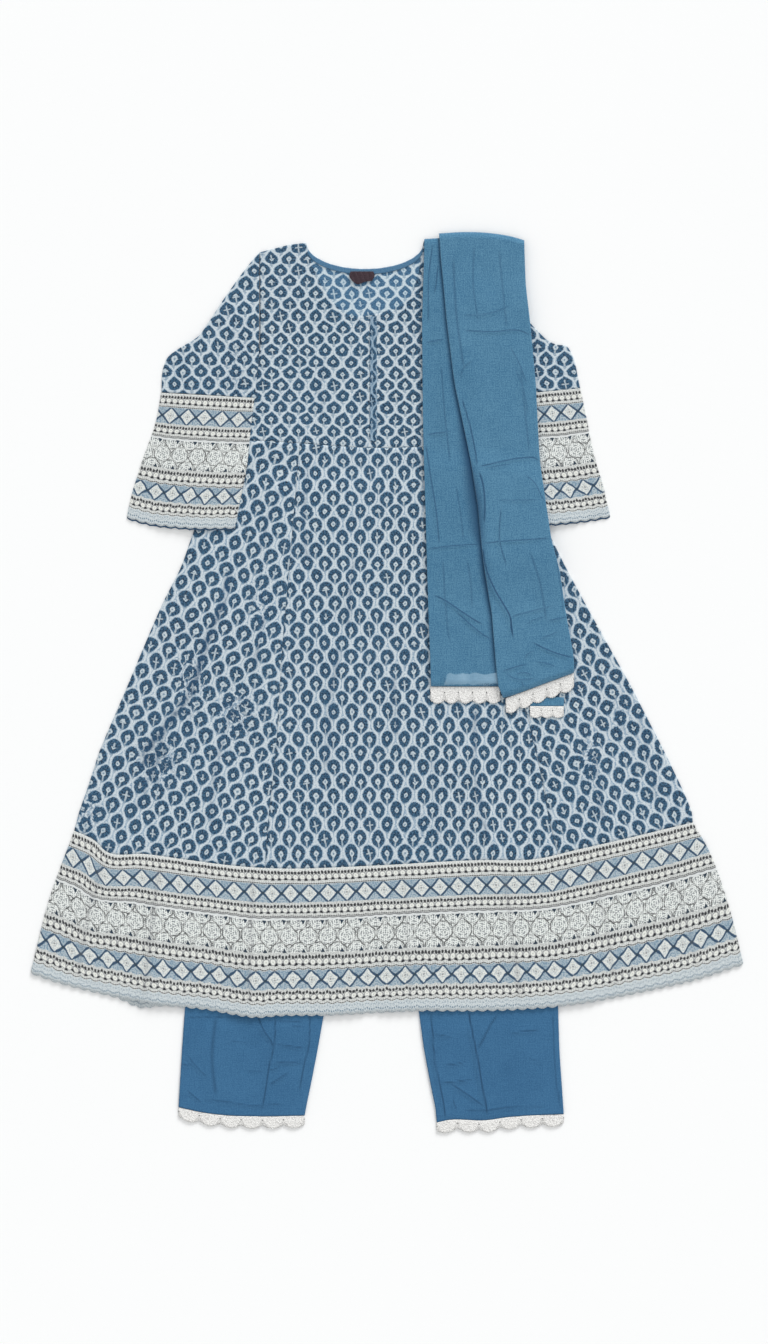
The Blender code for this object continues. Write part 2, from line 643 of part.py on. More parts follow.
def build_dupatta():
    top = Line(LEFT_STRETCH_TOP, smooth=False)
    end = Line(LEFT_STRETCH_END, smooth=False)
    left = column_line(DUPATTA_ROWS, "left", top(0.0)[1], end(0.0)[1])
    right = column_line(DUPATTA_ROWS, "fold", top(1.0)[1], end(1.0)[1]).moved(x=-GAP / 2)
    shape = patch(left, right, top, end)
    stack("dupatta_left_stretch", shape, LEFT_STRETCH_HEIGHT, LEFT_STRETCH_COLUMNS, "dupatta")
    lace_size = DUPATTA_LACE_DEPTH, DUPATTA_LACE_WAVE, DUPATTA_LACE_WAVES
    lace("dupatta_lace_left", end, *lace_size, dupatta_base)

    top = Line(RIGHT_STRETCH_TOP)
    end = Line(RIGHT_STRETCH_END)
    left = column_line(DUPATTA_ROWS, "fold", top(0.0)[1], end(0.0)[1]).moved(x=GAP / 2)
    right = column_line(DUPATTA_ROWS, "right", top(1.0)[1], end(1.0)[1])
    shape = patch(left, right, top, end)
    stack("dupatta_right_stretch", shape, RIGHT_STRETCH_HEIGHT, RIGHT_STRETCH_COLUMNS, "dupatta")
    raised = lambda x, y: dupatta_base(x, y) + LAYER
    lace("dupatta_lace_right", end, *lace_size, raised)

    under_left, under_right = UNDER_END["x"]
    under_top, under_low = UNDER_END["y"]
    left = Line([(under_left, under_top), (under_left, under_low)], smooth=False)
    top = Line([(under_left, under_top), (under_right, under_top)], smooth=False)
    width = under_right - under_left
    shape = patch(left, left.moved(x=width), top, top.moved(y=under_low - under_top))
    panel("dupatta_under_end", shape, dupatta_base, even(3), even(1), "dupatta")
    size = UNDER_LACE_DEPTH, UNDER_LACE_WAVE, UNDER_LACE_WAVES
    lace("dupatta_lace_under", top.moved(y=under_low - under_top), *size, dupatta_base)


def main():
    clear_scene()
    collection = bpy.data.collections.get(SET_NAME) or bpy.data.collections.new(SET_NAME)
    if SET_NAME not in bpy.context.scene.collection.children:
        bpy.context.scene.collection.children.link(collection)
    build_trousers()
    build_bodice()
    build_neck()
    seam_x = build_skirt()
    build_borders(seam_x)
    build_sleeves()
    build_dupatta()


main()
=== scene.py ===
"""The looks of a kurta set laid flat: fine cloth, printed and bordered, with lace, on a white floor.

Lengths in the tables are in millimetres, with X to the right, Y up to the neck and Z up from the floor.
The tables repeat the outlines of the solids, so each finer piece lies where its solid lies.
"""

import math

import bpy
import numpy as np
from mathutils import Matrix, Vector


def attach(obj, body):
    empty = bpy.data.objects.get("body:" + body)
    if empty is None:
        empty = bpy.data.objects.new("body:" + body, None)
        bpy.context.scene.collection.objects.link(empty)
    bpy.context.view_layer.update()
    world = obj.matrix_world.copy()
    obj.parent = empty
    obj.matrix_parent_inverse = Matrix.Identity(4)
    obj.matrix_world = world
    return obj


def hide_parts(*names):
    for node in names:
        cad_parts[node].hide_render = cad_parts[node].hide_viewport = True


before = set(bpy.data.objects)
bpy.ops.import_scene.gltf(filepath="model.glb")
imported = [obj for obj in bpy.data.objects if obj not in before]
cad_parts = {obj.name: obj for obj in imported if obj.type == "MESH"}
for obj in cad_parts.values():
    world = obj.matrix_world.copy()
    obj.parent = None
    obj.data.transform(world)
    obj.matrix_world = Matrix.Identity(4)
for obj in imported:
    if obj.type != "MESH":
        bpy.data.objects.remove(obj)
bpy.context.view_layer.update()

METRES = 0.001
BODY = "root"

# Layers
WALL = 0.8
CAD_WALL = 1.0
GAP = 0.3
SEAM_GAP = 0.05
SEAM_DEPTH = 0.35
SEAM_WIDTH = 2.2
LAYER = CAD_WALL + GAP
TUBE_HEIGHT = CAD_WALL + LAYER
MIDDLE_SHIFT = np.array([0.0, -2.0])

# Mesh steps
HIDDEN = 9.0
BACK_BODICE_STEP = 5.0
BORDER_STEP = 4.6
FINE = 3.5
FRONT_BODICE_STEP = 3.0
SLEEVE_STEP = 3.0
CUFF_STEP = 2.6
LEG_STEP = 2.0
CREASED = 1.6
LACE_STEP = 1.3
LABEL_STEP = 1.0
SECTION_COLUMNS = 60
TUBE_SIDE_POINTS = 5
STACK_SIDE_POINTS = 6
STACK_UNDER_POINTS = 9
COLUMN_POINTS = 40
LACE_WAVE_POINTS = 24
CUFF_SCALLOP_POINTS = 8
FRONT_SCALLOP_POINTS = 8
BACK_SCALLOP_POINTS = 4
LEG_ROWS_HIDDEN = 50
LEG_ROWS_SHOWN = 92
HEM_ROW_POINTS = 200
NECK_POINTS = 80

# Trousers
LEG_ROWS = {
    "y": [246, 171, 66, -9, -174, -324, -483, -550, -604, -645],
    "left_outer": [-204, -243, -271.5, -279, -285, -292.5, -302.6, -307.2, -310.6, -312.8],
    "left_inner": [-23.3, -23.3, -23.3, -23.3, -47.7, -69.8, -92.5, -104.2, -114.8, -123.5],
    "right_inner": [-23.3, -23.3, -23.3, -23.3, 1.1, 23.3, 46, 55.2, 65.4, 74],
    "right_outer": [157.5, 196.5, 226.5, 234, 240, 247.5, 256.5, 258.4, 262.2, 265],
}
WAIST_TOP = 246
WAISTBAND_HEIGHT = 36
LEG_SHOWS_BELOW = -440
LEG_HEM_LEFT = [(-312.5, -634.5), (-272, -643), (-234, -647), (-195.5, -648), (-123.5, -647)]
LEG_HEM_RIGHT = [(74.5, -657.5), (90, -654), (148, -654), (181, -649.5), (265, -644.7)]
PICOTS = 6
PICOT_DEPTH = 1.2
LACE_RELIEF = 0.12
LEG_LACE_DEPTH = 12.0
LEG_LACE_WAVE = 7.0
LEG_LACE_WAVES = 6
# The front leg grows full between these two depths under the kurta's hem, and is flat again at its own hem
LEG_FULL_FROM = (505, 520)
LEG_FULL_TO = -652
LEG_HEM_FADE = 6
LEG_EASE = 0.5
LEG_RIPPLE = 0.9

# The kurta is lifted over the trousers
OVER_TROUSERS = TUBE_HEIGHT + GAP
LIFT_FULL = 40
LIFT_RAMP = 40
NEXT_LAYER_REACH = 30

# Flat cloth between the folds still stands a little off the layer below
EASE_IN_CLOTH = 0.35
DUPATTA_CLEAR_Y = -75
CLEAR_OF_DUPATTA = (3.0, 22.0)
CLEAR_OF_SLEEVE_X = (150.0, 166.0)
CLEAR_OF_SLEEVE_Y = (205.0, 225.0)

# Bodice
BODICE_AXIS = -28.5
ARMHOLE_AND_SIDE = [
    (-191, 647), (-190.5, 575), (-190.5, 508), (-195, 482), (-210, 452), (-247, 425), (-246, 366),
]
SHOULDER = [(-191, 647), (-147, 658.5), (-120.9, 661.5)]
RIGHT_SHOULDER = [(54.9, 664.5), (90, 661), (134, 647)]
FRONT_NECK = [
    (-120.9, 661.5), (-114, 633), (-109.5, 621), (-97.5, 597), (-84, 576), (-67.5, 559.5), (-52.5, 552),
    (-22.5, 554), (-3, 558), (17, 564), (33, 579), (45, 606), (51, 633), (54.9, 664.5),
]
NECK_MIDDLE = -33
NECK_HALF_WIDTH = NECK_MIDDLE - SHOULDER[-1][0]
BACK_NECK_DROP = 39
WAIST_SEAM = [(-246, 366), (-190, 364.5), (-100, 358.5), (-18, 354), (50, 355.5), (189, 359)]
PLACKET_WIDTH = 10.5
PLACKET_X = -20.5
PLACKET_Y = (364, 551)
FACING_WIDTH = 8
FACING_HALF_SPAN = 87.5
LABEL_SIZE = (38, 14)
LABEL_CENTRE = (-37.5, 611.5)
FACING_SINK = 0.3
LABEL_SINK = 0.2
PUCKER = 0.3
PLACKET_RISE = 0.15
# Depth and half width of what is pressed into the placket
PLACKET_STITCHES = (0.25, 1.2)
PLACKET_SLIT = (0.3, 1.1)

# Skirt
SKIRT_ROWS = {
    "y": [366, 229.5, 176, 119, 63, -5, -97.5, -150, -190, -214, -290],
    "left_side": [-246, -289.5, -308, -337.5, -361.5, -390, -430, -447, -461, -467.5, -487],
    "left_seam": [-130.5, -142, -146.6, -151.6, -156.5, -161, -166.3, -172.2, -176.8, -179, -184],
    "right_seam": [112, 143, 155.7, 169.3, 182.8, 199, 222, 233.5, 240, 245, 265],
    "right_side": [189, 241, 267.3, 297.8, 329, 366.5, 413.8, 439.3, 457, 459, 480],
}
SIDE_PANEL_TURN = math.radians(19.4)
SKIRT_PANELS = [
    ("left", "left_side", "left_seam", -SIDE_PANEL_TURN),
    ("centre", "left_seam", "right_seam", 0.0),
    ("right", "right_seam", "right_side", SIDE_PANEL_TURN),
]
# Rounds in which the place where a side edge meets the border settles
MEETING_ROUNDS = 6
BORDER_TOP = [
    (-469, -220), (-438, -235), (-422, -250.5), (-361.5, -255), (-296, -264), (-223.5, -273),
    (-150.6, -276.8), (-78, -275), (0, -271.2), (135, -264), (226, -262), (280.5, -249.5), (353, -233),
    (458.4, -207.6),
]
HEM = [
    (-534.2, -431.7), (-497, -445), (-440, -460), (-394, -470), (-352, -477.6), (-264, -487), (-226, -494),
    (-195, -497.7), (-165, -495.5), (-96, -494.7), (-10, -490.5), (48, -488), (132, -488), (197, -486),
    (256, -481.5), (316.5, -473), (389, -458.6), (462, -442), (534.2, -418.5),
]
BORDER_LEFT_BULGE = (-505.5, -319.5)
BORDER_RIGHT_BULGE = [(480, -244.5), (512, -331.5)]
BACK_HEM_PEEK = {"x": -371, "half_width": 24, "drop": 9}
HEM_SCALLOPS = 72
HEM_SCALLOP_DEPTH = 3.0
HEM_SCALLOP_REACH = 9.0
BORDER_HEIGHT = 220.0

# Sleeves and cuffs
LEFT_SLEEVE_OUTER = [
    (-191.5, 647), (-202, 635), (-240, 584), (-270.5, 538), (-282, 522), (-290.6, 515.4), (-312, 503),
    (-330, 488), (-335, 475.5), (-338.3, 437.4),
]
RIGHT_SLEEVE_OUTER = [
    (134.5, 647), (146, 634), (182, 583), (215, 541), (228, 527), (241, 515), (254, 509), (269.5, 506.5),
    (276, 497), (287, 456), (289.5, 443.6),
]
LEFT_ARMHOLE = [(-191.5, 647), (-192, 486)]
LEFT_UNDERARM = [(-192, 486), (-198.5, 429)]
LEFT_CUFF_OUTER = [(-338.6, 436.5), (-346, 396), (-367, 335), (-385.5, 273.6), (-390, 251.7)]
LEFT_CUFF_INNER = [(-198.5, 428.7), (-204.6, 379.5), (-210, 326), (-222, 264.6), (-227.6, 235)]
LEFT_CUFF_HEM = [(-390, 251.7), (-373, 246), (-293.4, 235), (-227.6, 235)]
RIGHT_CUFF_OUTER = [(289.8, 443.3), (297.5, 407.3), (311.6, 339), (323.6, 298.8), (334.5, 253)]
RIGHT_CUFF_HEM = [(170.6, 235), (245, 241), (300, 247), (334.5, 253)]
CUFF_SCALLOPS = 11
CUFF_SCALLOP_DEPTH = 2.5
CUFF_SCALLOP_REACH = 14.0
CUFF_BACK_LONGER = 2.4
CUFF_BORDER_SCALE = 1.1
TUBE_INSET = 1.6
TUBE_PUFF = 0.25
TUBE_FLAT_EDGE = 12.0
SIDE_UNDER_SLEEVE = {"y": [425, 366, 229.5], "x": [-247, -246, -289.5]}
SLEEVE_LIFT_FROM = 600
SLEEVE_LIFT_TO = 550

# Dupatta
DUPATTA_ROWS = {
    "y": [674, 640, 595, 543, 451, 359, 328, 267, 214, 172, 103, 40, 18, -3, -21],
    "left": [54, 53.5, 52, 50.7, 51.5, 53, 54, 56, 57.5, 58.8, 61, 63.6, 64.3, 65, 66],
    "fold": [81.6, 84, 88.5, 93, 104.5, 124, 130, 139.5, 144.5, 149.5, 161, 166, 168, 170.5, 177.8],
    "right": [204, 205, 207, 213.5, 222.5, 227.5, 230, 239.3, 247.5, 259.5, 270, 282, 282, 281, 280],
}
LEFT_STRETCH_TOP = [(55, 666.9), (81.3, 668.5)]
LEFT_STRETCH_END = [(65, -3.5), (170, -3.5)]
RIGHT_STRETCH_TOP = [(81.9, 675.3), (110.7, 677.2), (156.6, 675.5), (187, 670.5), (206, 665)]
RIGHT_STRETCH_END = [(177.8, -21), (280.2, 17)]
LEFT_STRETCH_HEIGHT = 5.0
RIGHT_STRETCH_HEIGHT = 8.0
STACK_LAYERS = 3
STACK_EDGE_INSET = 1.7
STACK_LAYER_SHIFT = 0.9
STACK_FLAT_EDGE = 5.0
STACK_SOFTNESS = 0.35
STACK_END = 8.0
STACK_END_FLAT = 10.0
STACK_END_HEIGHT = 0.45
OVERHANG = 4.5
OVERHANG_FADE = 18.0
UNDER_END = {"x": (214, 265), "y": (-20, -33)}
UNDER_LACE_DEPTH = 14
DUPATTA_LACE_DEPTH = 20
DUPATTA_LACE_WAVE = 6
DUPATTA_LACE_WAVES = 5
UNDER_LACE_WAVE = 4
UNDER_LACE_WAVES = 3
OVER_KURTA = TUBE_HEIGHT + GAP
OVER_SLEEVE = 2.9
OVER_SLEEVE_X = (55, 110)
OVER_SLEEVE_Y = (120, 200, 560, 625)

# Soft folds of the kurta's front, as in the solids: points, half width, height, whether one runs to the hem
SOFT_FOLDS = [
    ([(-237, 150), (-284, 20), (-366, -118)], 24, 3.2, False),
    ([(-52, 190), (-58, 130), (-62, 70)], 22, 2.0, False),
    ([(6, 20), (9, -40), (14, -120)], 22, 1.8, False),
    ([(-184, 110), (-192, 60), (-204, 10)], 22, 2.0, False),
    ([(129, -80), (132, -170), (152, -270)], 22, 2.6, False),
    ([(304, -90), (314, -160), (330, -260)], 24, 2.4, False),
    ([(-330, -300), (-352, -390), (-372, -490)], 26, 2.2, True),
    ([(-205, -330), (-208, -420), (-210, -510)], 26, 2.4, True),
]
FOLD_FADE = 45
CREASE_FADE_SHARE = 0.4
RIPPLE_HEIGHT = 0.22

# Sharper creases: points, half width, height, and how much steeper the right side is
KURTA_CREASES = [
    ([(-237, 175), (-251, 116), (-269, 75), (-281, 34), (-294, -5), (-321, -45), (-366, -110), (-371, -134)],
     9, 1.5, 2.4),
    ([(-52, 195), (-59, 130), (-62, 75)], 6, 0.8, 1.8),
    ([(7, 20), (10, -30), (12, -86)], 6, 0.8, 1.8),
    ([(-184, 111), (-194, 65), (-201, 15)], 6, 0.9, 2.0),
    ([(130, -34), (129, -120), (149, -242)], 7, 0.9, 2.0),
    ([(306, -96), (314, -150), (322, -207)], 7, 0.8, 2.0),
    ([(-120, 340), (-128, 250), (-122, 175)], 7, 0.6, 1.5),
    ([(-75, 60), (-92, -40), (-96, -150)], 9, 0.6, 1.5),
    ([(-330, -40), (-352, -120), (-380, -190)], 8, 0.8, 1.6),
    ([(-240, -40), (-262, -130), (-270, -220)], 8, 0.6, 1.4),
    ([(216, 150), (252, 60), (285, -20)], 8, 0.7, 1.6),
    ([(372, -40), (392, -120), (402, -180)], 7, 0.6, 1.5),
    ([(60, -110), (72, -190), (70, -250)], 8, 0.5, 1.4),
    ([(-160, 300), (-186, 235), (-196, 190)], 7, 0.6, 1.4),
    ([(-97, 500), (-104, 450), (-100, 395)], 6, 0.4, 1.3),
]
# Where the printed cloth is crushed by many small creases: the print is pulled about there, and painted shade
# lies on it in broken streaks
KURTA_CRUSHED = {
    "x": [-225, -296, -343, -448, -190, 304, 350, -226, 55],
    "y": [-42, 6, -117, -190, 118, -112, -50, 470, -215],
    "half_width": [26, 18, 34, 18, 14, 14, 12, 16, 14],
    "half_height": [40, 56, 36, 24, 50, 46, 40, 60, 40],
    "strength": [1.0, 0.9, 0.9, 0.9, 0.6, 0.9, 0.6, 0.5, 0.4],
}
BORDER_CREASES = [
    ([(-430, -262), (-452, -340), (-470, -440)], 10, 0.8, 1.6),
    ([(-345, -270), (-360, -380), (-368, -470)], 10, 0.9, 1.8),
    ([(-205, -285), (-208, -390), (-212, -485)], 9, 0.8, 1.8),
    ([(20, -280), (26, -380), (30, -480)], 9, 0.5, 1.4),
    ([(170, -275), (182, -370), (196, -476)], 10, 0.9, 1.8),
    ([(300, -255), (322, -360), (340, -460)], 9, 0.7, 1.6),
    ([(412, -232), (438, -330), (462, -430)], 9, 0.6, 1.5),
]
SLEEVE_CREASES = [
    ([(-268, 520), (-250, 470), (-246, 436)], 7, 0.6, 1.5),
    ([(-322, 470), (-300, 458), (-276, 452)], 6, 0.5, 1.5),
    ([(-214, 600), (-226, 560), (-228, 520)], 7, 0.5, 1.4),
    ([(-300, 420), (-312, 340), (-318, 262)], 8, 0.5, 1.4),
    ([(-250, 415), (-258, 330), (-262, 250)], 8, 0.4, 1.4),
    ([(232, 500), (226, 470), (230, 446)], 6, 0.5, 1.5),
    ([(262, 425), (272, 350), (280, 262)], 8, 0.4, 1.4),
]
RIGHT_STRETCH_CREASES = [
    ([(141, 207), (148, 169), (161, 139), (174, 117), (183, 100), (185, 82), (188, 66)], 4, 1.7, 2.2),
    ([(110, 430), (124, 382), (131, 346), (134, 322)], 2.6, 1.1, 1.6),
    ([(134, 322), (141, 300), (144, 270), (143, 235)], 5, 1.2, 1.8),
    ([(112, 528), (157, 526), (201, 527), (217, 519)], 2.6, 0.9, 1.5),
    ([(110, 550), (156, 554), (188, 566)], 2.6, 0.6, 1.5),
    ([(131, 488), (112, 472), (108, 452)], 3, 0.5, 1.5),
    ([(181, 508), (199, 472), (208, 446)], 3.5, 0.6, 1.5),
    ([(190, 473), (203, 440), (210, 400)], 3, 0.5, 1.5),
    ([(134, 323), (164, 330), (201, 337), (221, 337), (230, 330)], 2.6, 1.0, 1.5),
    ([(142, 321), (166, 325), (190, 329)], 2.2, 0.5, 1.5),
    ([(203, 314), (218, 302), (233, 275), (238, 268)], 2.8, 0.7, 1.5),
    ([(161, 273), (191, 274), (228, 274)], 2.4, 0.5, 1.5),
    ([(169, 267), (167, 213), (178, 174)], 3.5, 0.8, 1.6),
    ([(139, 208), (168, 212), (199, 214), (246, 217)], 2.6, 0.9, 1.5),
    ([(183, 98), (204, 105), (225, 110), (253, 117)], 2.4, 0.7, 1.5),
    ([(206, 88), (218, 94), (241, 101)], 2.2, 0.5, 1.5),
    ([(240, 93), (263, 98), (272, 99)], 2.4, 0.8, 1.6),
    ([(227, 65), (244, 72), (260, 79)], 2.4, 0.6, 1.5),
    ([(214, 63), (233, 53), (250, 46), (282, 37)], 2.8, 1.1, 1.6),
    ([(168, 16), (191, 24), (214, 30)], 2.4, 0.9, 1.6),
    ([(207, 35), (211, 44), (224, 49)], 2.2, 0.5, 1.5),
    ([(220, 32), (238, 30), (254, 24)], 2.4, 0.6, 1.5),
    ([(191, 13), (204, 16), (219, 12)], 2.2, 0.7, 1.5),
    ([(173, 16), (196, 6), (227, 8)], 2.2, 0.7, 1.5),
    ([(200, 5), (202, 0), (204, -6)], 2.2, 0.6, 1.5),
    ([(96, 640), (100, 560), (112, 470)], 6, 0.6, 1.5),
    ([(128, 660), (126, 600), (134, 540)], 5, 0.5, 1.4),
    ([(164, 655), (170, 590), (176, 530)], 6, 0.4, 1.4),
    ([(196, 480), (204, 400), (210, 345)], 6, 0.4, 1.4),
    ([(210, 200), (226, 150), (236, 90)], 6, 0.5, 1.5),
    ([(250, 190), (258, 140), (262, 100)], 5, 0.5, 1.5),
]
LEFT_STRETCH_CREASES = [
    ([(55, 509), (72, 513), (89, 515)], 2.6, 0.8, 1.5),
    ([(55, 371), (71, 374), (99, 377)], 2.6, 0.9, 1.5),
    ([(57, 200), (91, 205), (131, 208), (146, 209)], 2.6, 0.9, 1.6),
    ([(66, 133), (79, 128), (106, 111), (127, 97), (146, 86)], 2.8, 1.1, 1.8),
    ([(100, 109), (112, 99), (129, 84), (148, 70), (161, 64)], 2.6, 0.9, 1.6),
    ([(75, 633), (73, 606), (69, 581)], 2.6, 0.8, 1.5),
    ([(83, 14), (86, 5), (89, -4)], 2.2, 0.7, 1.5),
    ([(67, 662), (61, 613), (60, 538)], 3, 0.7, 1.4),
    ([(78, 480), (84, 400), (92, 330)], 5, 0.5, 1.4),
    ([(56, 362), (64, 309), (72, 259), (77, 206)], 3, 0.9, 1.5),
    ([(100, 300), (108, 250), (112, 212)], 5, 0.5, 1.4),
    ([(80, 190), (84, 120), (90, 60)], 6, 0.4, 1.4),
    ([(116, 190), (122, 150), (124, 110)], 6, 0.4, 1.4),
]
# Painted shade in the hollow of the left stretch beside the fold of the right one, and on the right one where
# it turns over
FOLD_HOLLOW = {
    "y": [674, 640, 500, 400, 380, 340, 320, 275, 230, 205, 156, 96, 40, 0],
    "width": [2, 3.5, 4, 5, 7, 10, 11, 14, 13, 6, 6, 5, 5, 4],
    "dark": [0.4, 0.75, 0.7, 0.85, 0.95, 0.97, 0.97, 0.9, 0.85, 0.9, 0.95, 0.8, 0.75, 0.5],
    "over_fold": [0, 0, 0, 0, 0, 0.1, 0.4, 0.75, 0.6, 0.3, 0.3, 0, 0, 0],
}
OVER_FOLD_WIDTH = 8
LEG_CREASES = [
    ([(-198, -490), (-186, -520), (-174, -538), (-171, -552)], 3.0, 1.1, 1.8),
    ([(-169, -488), (-171, -544), (-178, -572), (-183, -606), (-190, -642)], 3.0, 1.0, 1.7),
    ([(-117, -488), (-119, -544), (-126, -572), (-133, -616)], 2.8, 0.9, 1.7),
    ([(-303, -501), (-240, -501), (-192, -504)], 2.4, 0.7, 1.5),
    ([(-246, -538), (-215, -537), (-184, -538)], 2.4, 0.4, 1.5),
    ([(-214, -581), (-198, -582), (-181, -581)], 2.2, 0.5, 1.5),
    ([(-169, -507), (-145, -507), (-119, -510)], 2.4, 0.7, 1.5),
    ([(-146, -516), (-134, -514), (-121, -513)], 2.2, 0.6, 1.5),
    ([(-170, -541), (-145, -544), (-119, -548)], 2.4, 0.9, 1.5),
    ([(-172, -567), (-147, -569), (-122, -565)], 2.4, 0.8, 1.5),
    ([(-174, -571), (-154, -567), (-122, -572)], 2.2, 0.6, 1.5),
    ([(-180, -605), (-163, -594), (-142, -580)], 2.6, 0.9, 1.6),
    ([(-179, -582), (-168, -578), (-157, -572)], 2.4, 0.7, 1.5),
    ([(-303, -553), (-289, -572), (-268, -593)], 2.6, 0.7, 1.5),
    ([(-310, -570), (-299, -572), (-290, -569)], 2.4, 0.5, 1.5),
    ([(-302, -609), (-290, -619), (-277, -630)], 2.4, 0.9, 1.6),
    ([(-278, -625), (-235, -628), (-212, -632), (-155, -631)], 2.2, 0.7, 1.5),
    ([(-262, -495), (-268, -560), (-262, -620)], 10, 0.6, 1.4),
    ([(64, -488), (67, -523), (70, -564), (76, -593), (82, -622), (87, -655)], 2.8, 1.1, 1.6),
    ([(120, -488), (127, -526), (133, -555), (138, -585), (143, -612), (150, -650)], 4, 1.5, 2.0),
    ([(168, -490), (152, -514), (143, -532), (133, -550)], 2.6, 1.0, 1.6),
    ([(67, -526), (84, -528), (99, -532)], 2.4, 0.8, 1.5),
    ([(84, -573), (103, -571), (122, -567)], 2.4, 0.8, 1.5),
    ([(76, -598), (96, -598), (113, -596), (132, -594)], 2.4, 0.9, 1.5),
    ([(93, -599), (119, -616), (147, -636)], 2.6, 1.1, 1.6),
    ([(183, -526), (205, -522), (233, -521)], 2.4, 0.9, 1.5),
    ([(247, -489), (249, -540), (253, -600), (260, -641)], 2.4, 0.6, 1.5),
    ([(115, -640), (146, -640), (183, -636), (240, -634)], 2.2, 0.7, 1.5),
    ([(98, -620), (100, -632), (104, -640)], 3, 0.8, 1.5),
    ([(206, -560), (224, -566), (246, -564)], 3, 0.4, 1.5),
]

# Print: a half-drop repeat
MOTIF_PITCH = 26.6
MOTIF_HEIGHT = 39.0
BODICE_ROW_PITCH = 34.5
SLEEVE_ROW_PITCH = 37.5
SKIRT_ROW_PITCH = 41.0
SKIRT_ROW_GROWTH = 2.275e-4
SIDE_MOTIF_PITCH = 28.5
PLACKET_PITCH = 15.0
FOLD_SQUEEZE = 0.84
FOLD_SQUEEZE_REACH = 4
BODICE_MOTIFS_FROM = (350.0, 380.0)

# Tones of the block print: leaf, worn leaf, heart, net, ground and speckle
PRINT_TONES = {
    "block_print": [
        (2, 27, 52), (60, 104, 136), (206, 217, 221), (213, 222, 226), (168, 187, 202), (112, 142, 170),
    ],
    "block_print_inside": [
        (40, 80, 116), (80, 124, 156), (198, 216, 224), (210, 224, 230), (184, 202, 214), (140, 166, 190),
    ],
    "block_print_placket": [
        (2, 27, 52), (60, 104, 136), (170, 190, 204), (158, 180, 196), (118, 146, 170), (80, 114, 146),
    ],
}
# The tone of the painted shade in the print's creases and crushed patches
CREASE_SHADE_TONE = (30, 68, 102)

# Border
BORDER_TONES = {
    "paper": (220, 223, 220),
    "cream": (232, 234, 228),
    "dark": (34, 36, 42),
    "grey": (118, 120, 124),
    "ground": (176, 190, 198),
    "speck": (96, 132, 158),
    "line_blue": (18, 60, 92),
    "crossing": (44, 62, 74),
    "white": (238, 242, 239),
    "dots": (92, 102, 108),
    "outline": (54, 56, 58),
    "teeth": (36, 54, 70),
    "line_paper": (222, 226, 226),
    "hem": (208, 216, 218),
    "hem_speck": (160, 176, 188),
    "stitch": (88, 116, 136),
}
# The bands, from and to a share of the border's height
BORDER_BANDS = [
    (0.0, 0.108, "beads"), (0.108, 0.23, "diamonds"), (0.23, 0.33, "beads"), (0.33, 0.352, "line"),
    (0.352, 0.57, "flowers"), (0.57, 0.69, "beads"), (0.69, 0.817, "diamonds"), (0.817, 0.92, "beads"),
    (0.92, 1.1, "hem"),
]
BEAD_HEIGHT = 24.0
DIAMOND_PITCH = 28.0
DIAMOND_REACH = 13.6
FLOWER_PITCH = 29.0
BAND_EDGE = 0.001

# Slubs in the threads are this many times longer than wide
SLUB_STRETCH = 14.0

# Tones of the plain cloth
PLAIN_SHADOW = (22, 64, 98)
SHEER_TONE = (150, 184, 206)
SHEER_EDGE_TONE = (30, 66, 96)

# How darkly and how widely painted shade is laid along a crease in plain cloth
CREASE_SHADE_SHARE = 0.85
CREASE_SHADE_WIDTH = 1.05
CREASE_SHADE_FADE = 14
CREASE_SHADE_FADE_SHARE = 0.3
CREASE_SHADE_OFFSET = 0.8
CREASE_SHADE_TALLEST = 1.6

# A piece that fills less of its box than this is a curved strip, cut straight
CURVED_STRIP = 0.35
NARROWEST_CUT = 0.01

# Camera, floor and light
VIEW_CENTRE = (-4.5, 16.0)
VIEW_HEIGHT = 2016.0
CAMERA_DISTANCE = 6.0
SENSOR = 36.0
FLOOR_SIZE = 12.0
FLOOR_DROP = 0.0003
SUN_FROM = (0.34, 0.94, 0.42)
SUN_STRENGTH = 2.2
SUN_SPREAD = math.radians(22)
SKY_STRENGTH = 0.77


class Line:
    """A line through points, smooth or straight between them, read by its share of the length."""

    SAMPLES = 16

    def __init__(self, points, smooth=True):
        points = np.array(points, float)
        steps = np.hypot(*np.diff(points, axis=0).T)
        knots = np.concatenate([[0.0], np.cumsum(steps)])
        places = np.linspace(0.0, knots[-1], (len(points) - 1) * self.SAMPLES + 1)
        places = np.union1d(places, knots)
        if smooth and len(points) > 2:
            slopes = np.gradient(points, knots, axis=0)
            self.points = hermite(knots, points, slopes, places)
        else:
            self.points = np.column_stack([np.interp(places, knots, axis) for axis in points.T])
        lengths = np.concatenate([[0.0], np.cumsum(np.hypot(*np.diff(self.points, axis=0).T))])
        self.shares = lengths / lengths[-1]
        self.length = lengths[-1]

    def __call__(self, shares):
        return np.stack([np.interp(shares, self.shares, axis) for axis in self.points.T], axis=-1)

    def moved(self, x=0.0, y=0.0):
        return Line(self.points + (x, y), smooth=False)

    def between(self, x_from, x_to):
        """The stretch between two X values, on a line that runs one way along X."""
        inner = self.points[:, 0][(self.points[:, 0] > x_from) & (self.points[:, 0] < x_to)]
        x = np.concatenate([[x_from], inner, [x_to]])
        y = np.interp(x, *self.points.T)
        return Line(np.column_stack([x, y]), smooth=False)


def hermite(knots, points, slopes, places):
    index = np.clip(np.searchsorted(knots, places, side="right") - 1, 0, len(knots) - 2)
    width = (knots[index + 1] - knots[index])[:, None]
    u = (places[:, None] - knots[index][:, None]) / width
    start = (2 * u**3 - 3 * u**2 + 1) * points[index] + (u**3 - 2 * u**2 + u) * width * slopes[index]
    end = (3 * u**2 - 2 * u**3) * points[index + 1] + (u**3 - u**2) * width * slopes[index + 1]
    return start + end


def read_column(rows, name, y):
    """One named column of a table of rows, read at any heights."""
    return np.interp(-y, -np.array(rows["y"], float), rows[name])


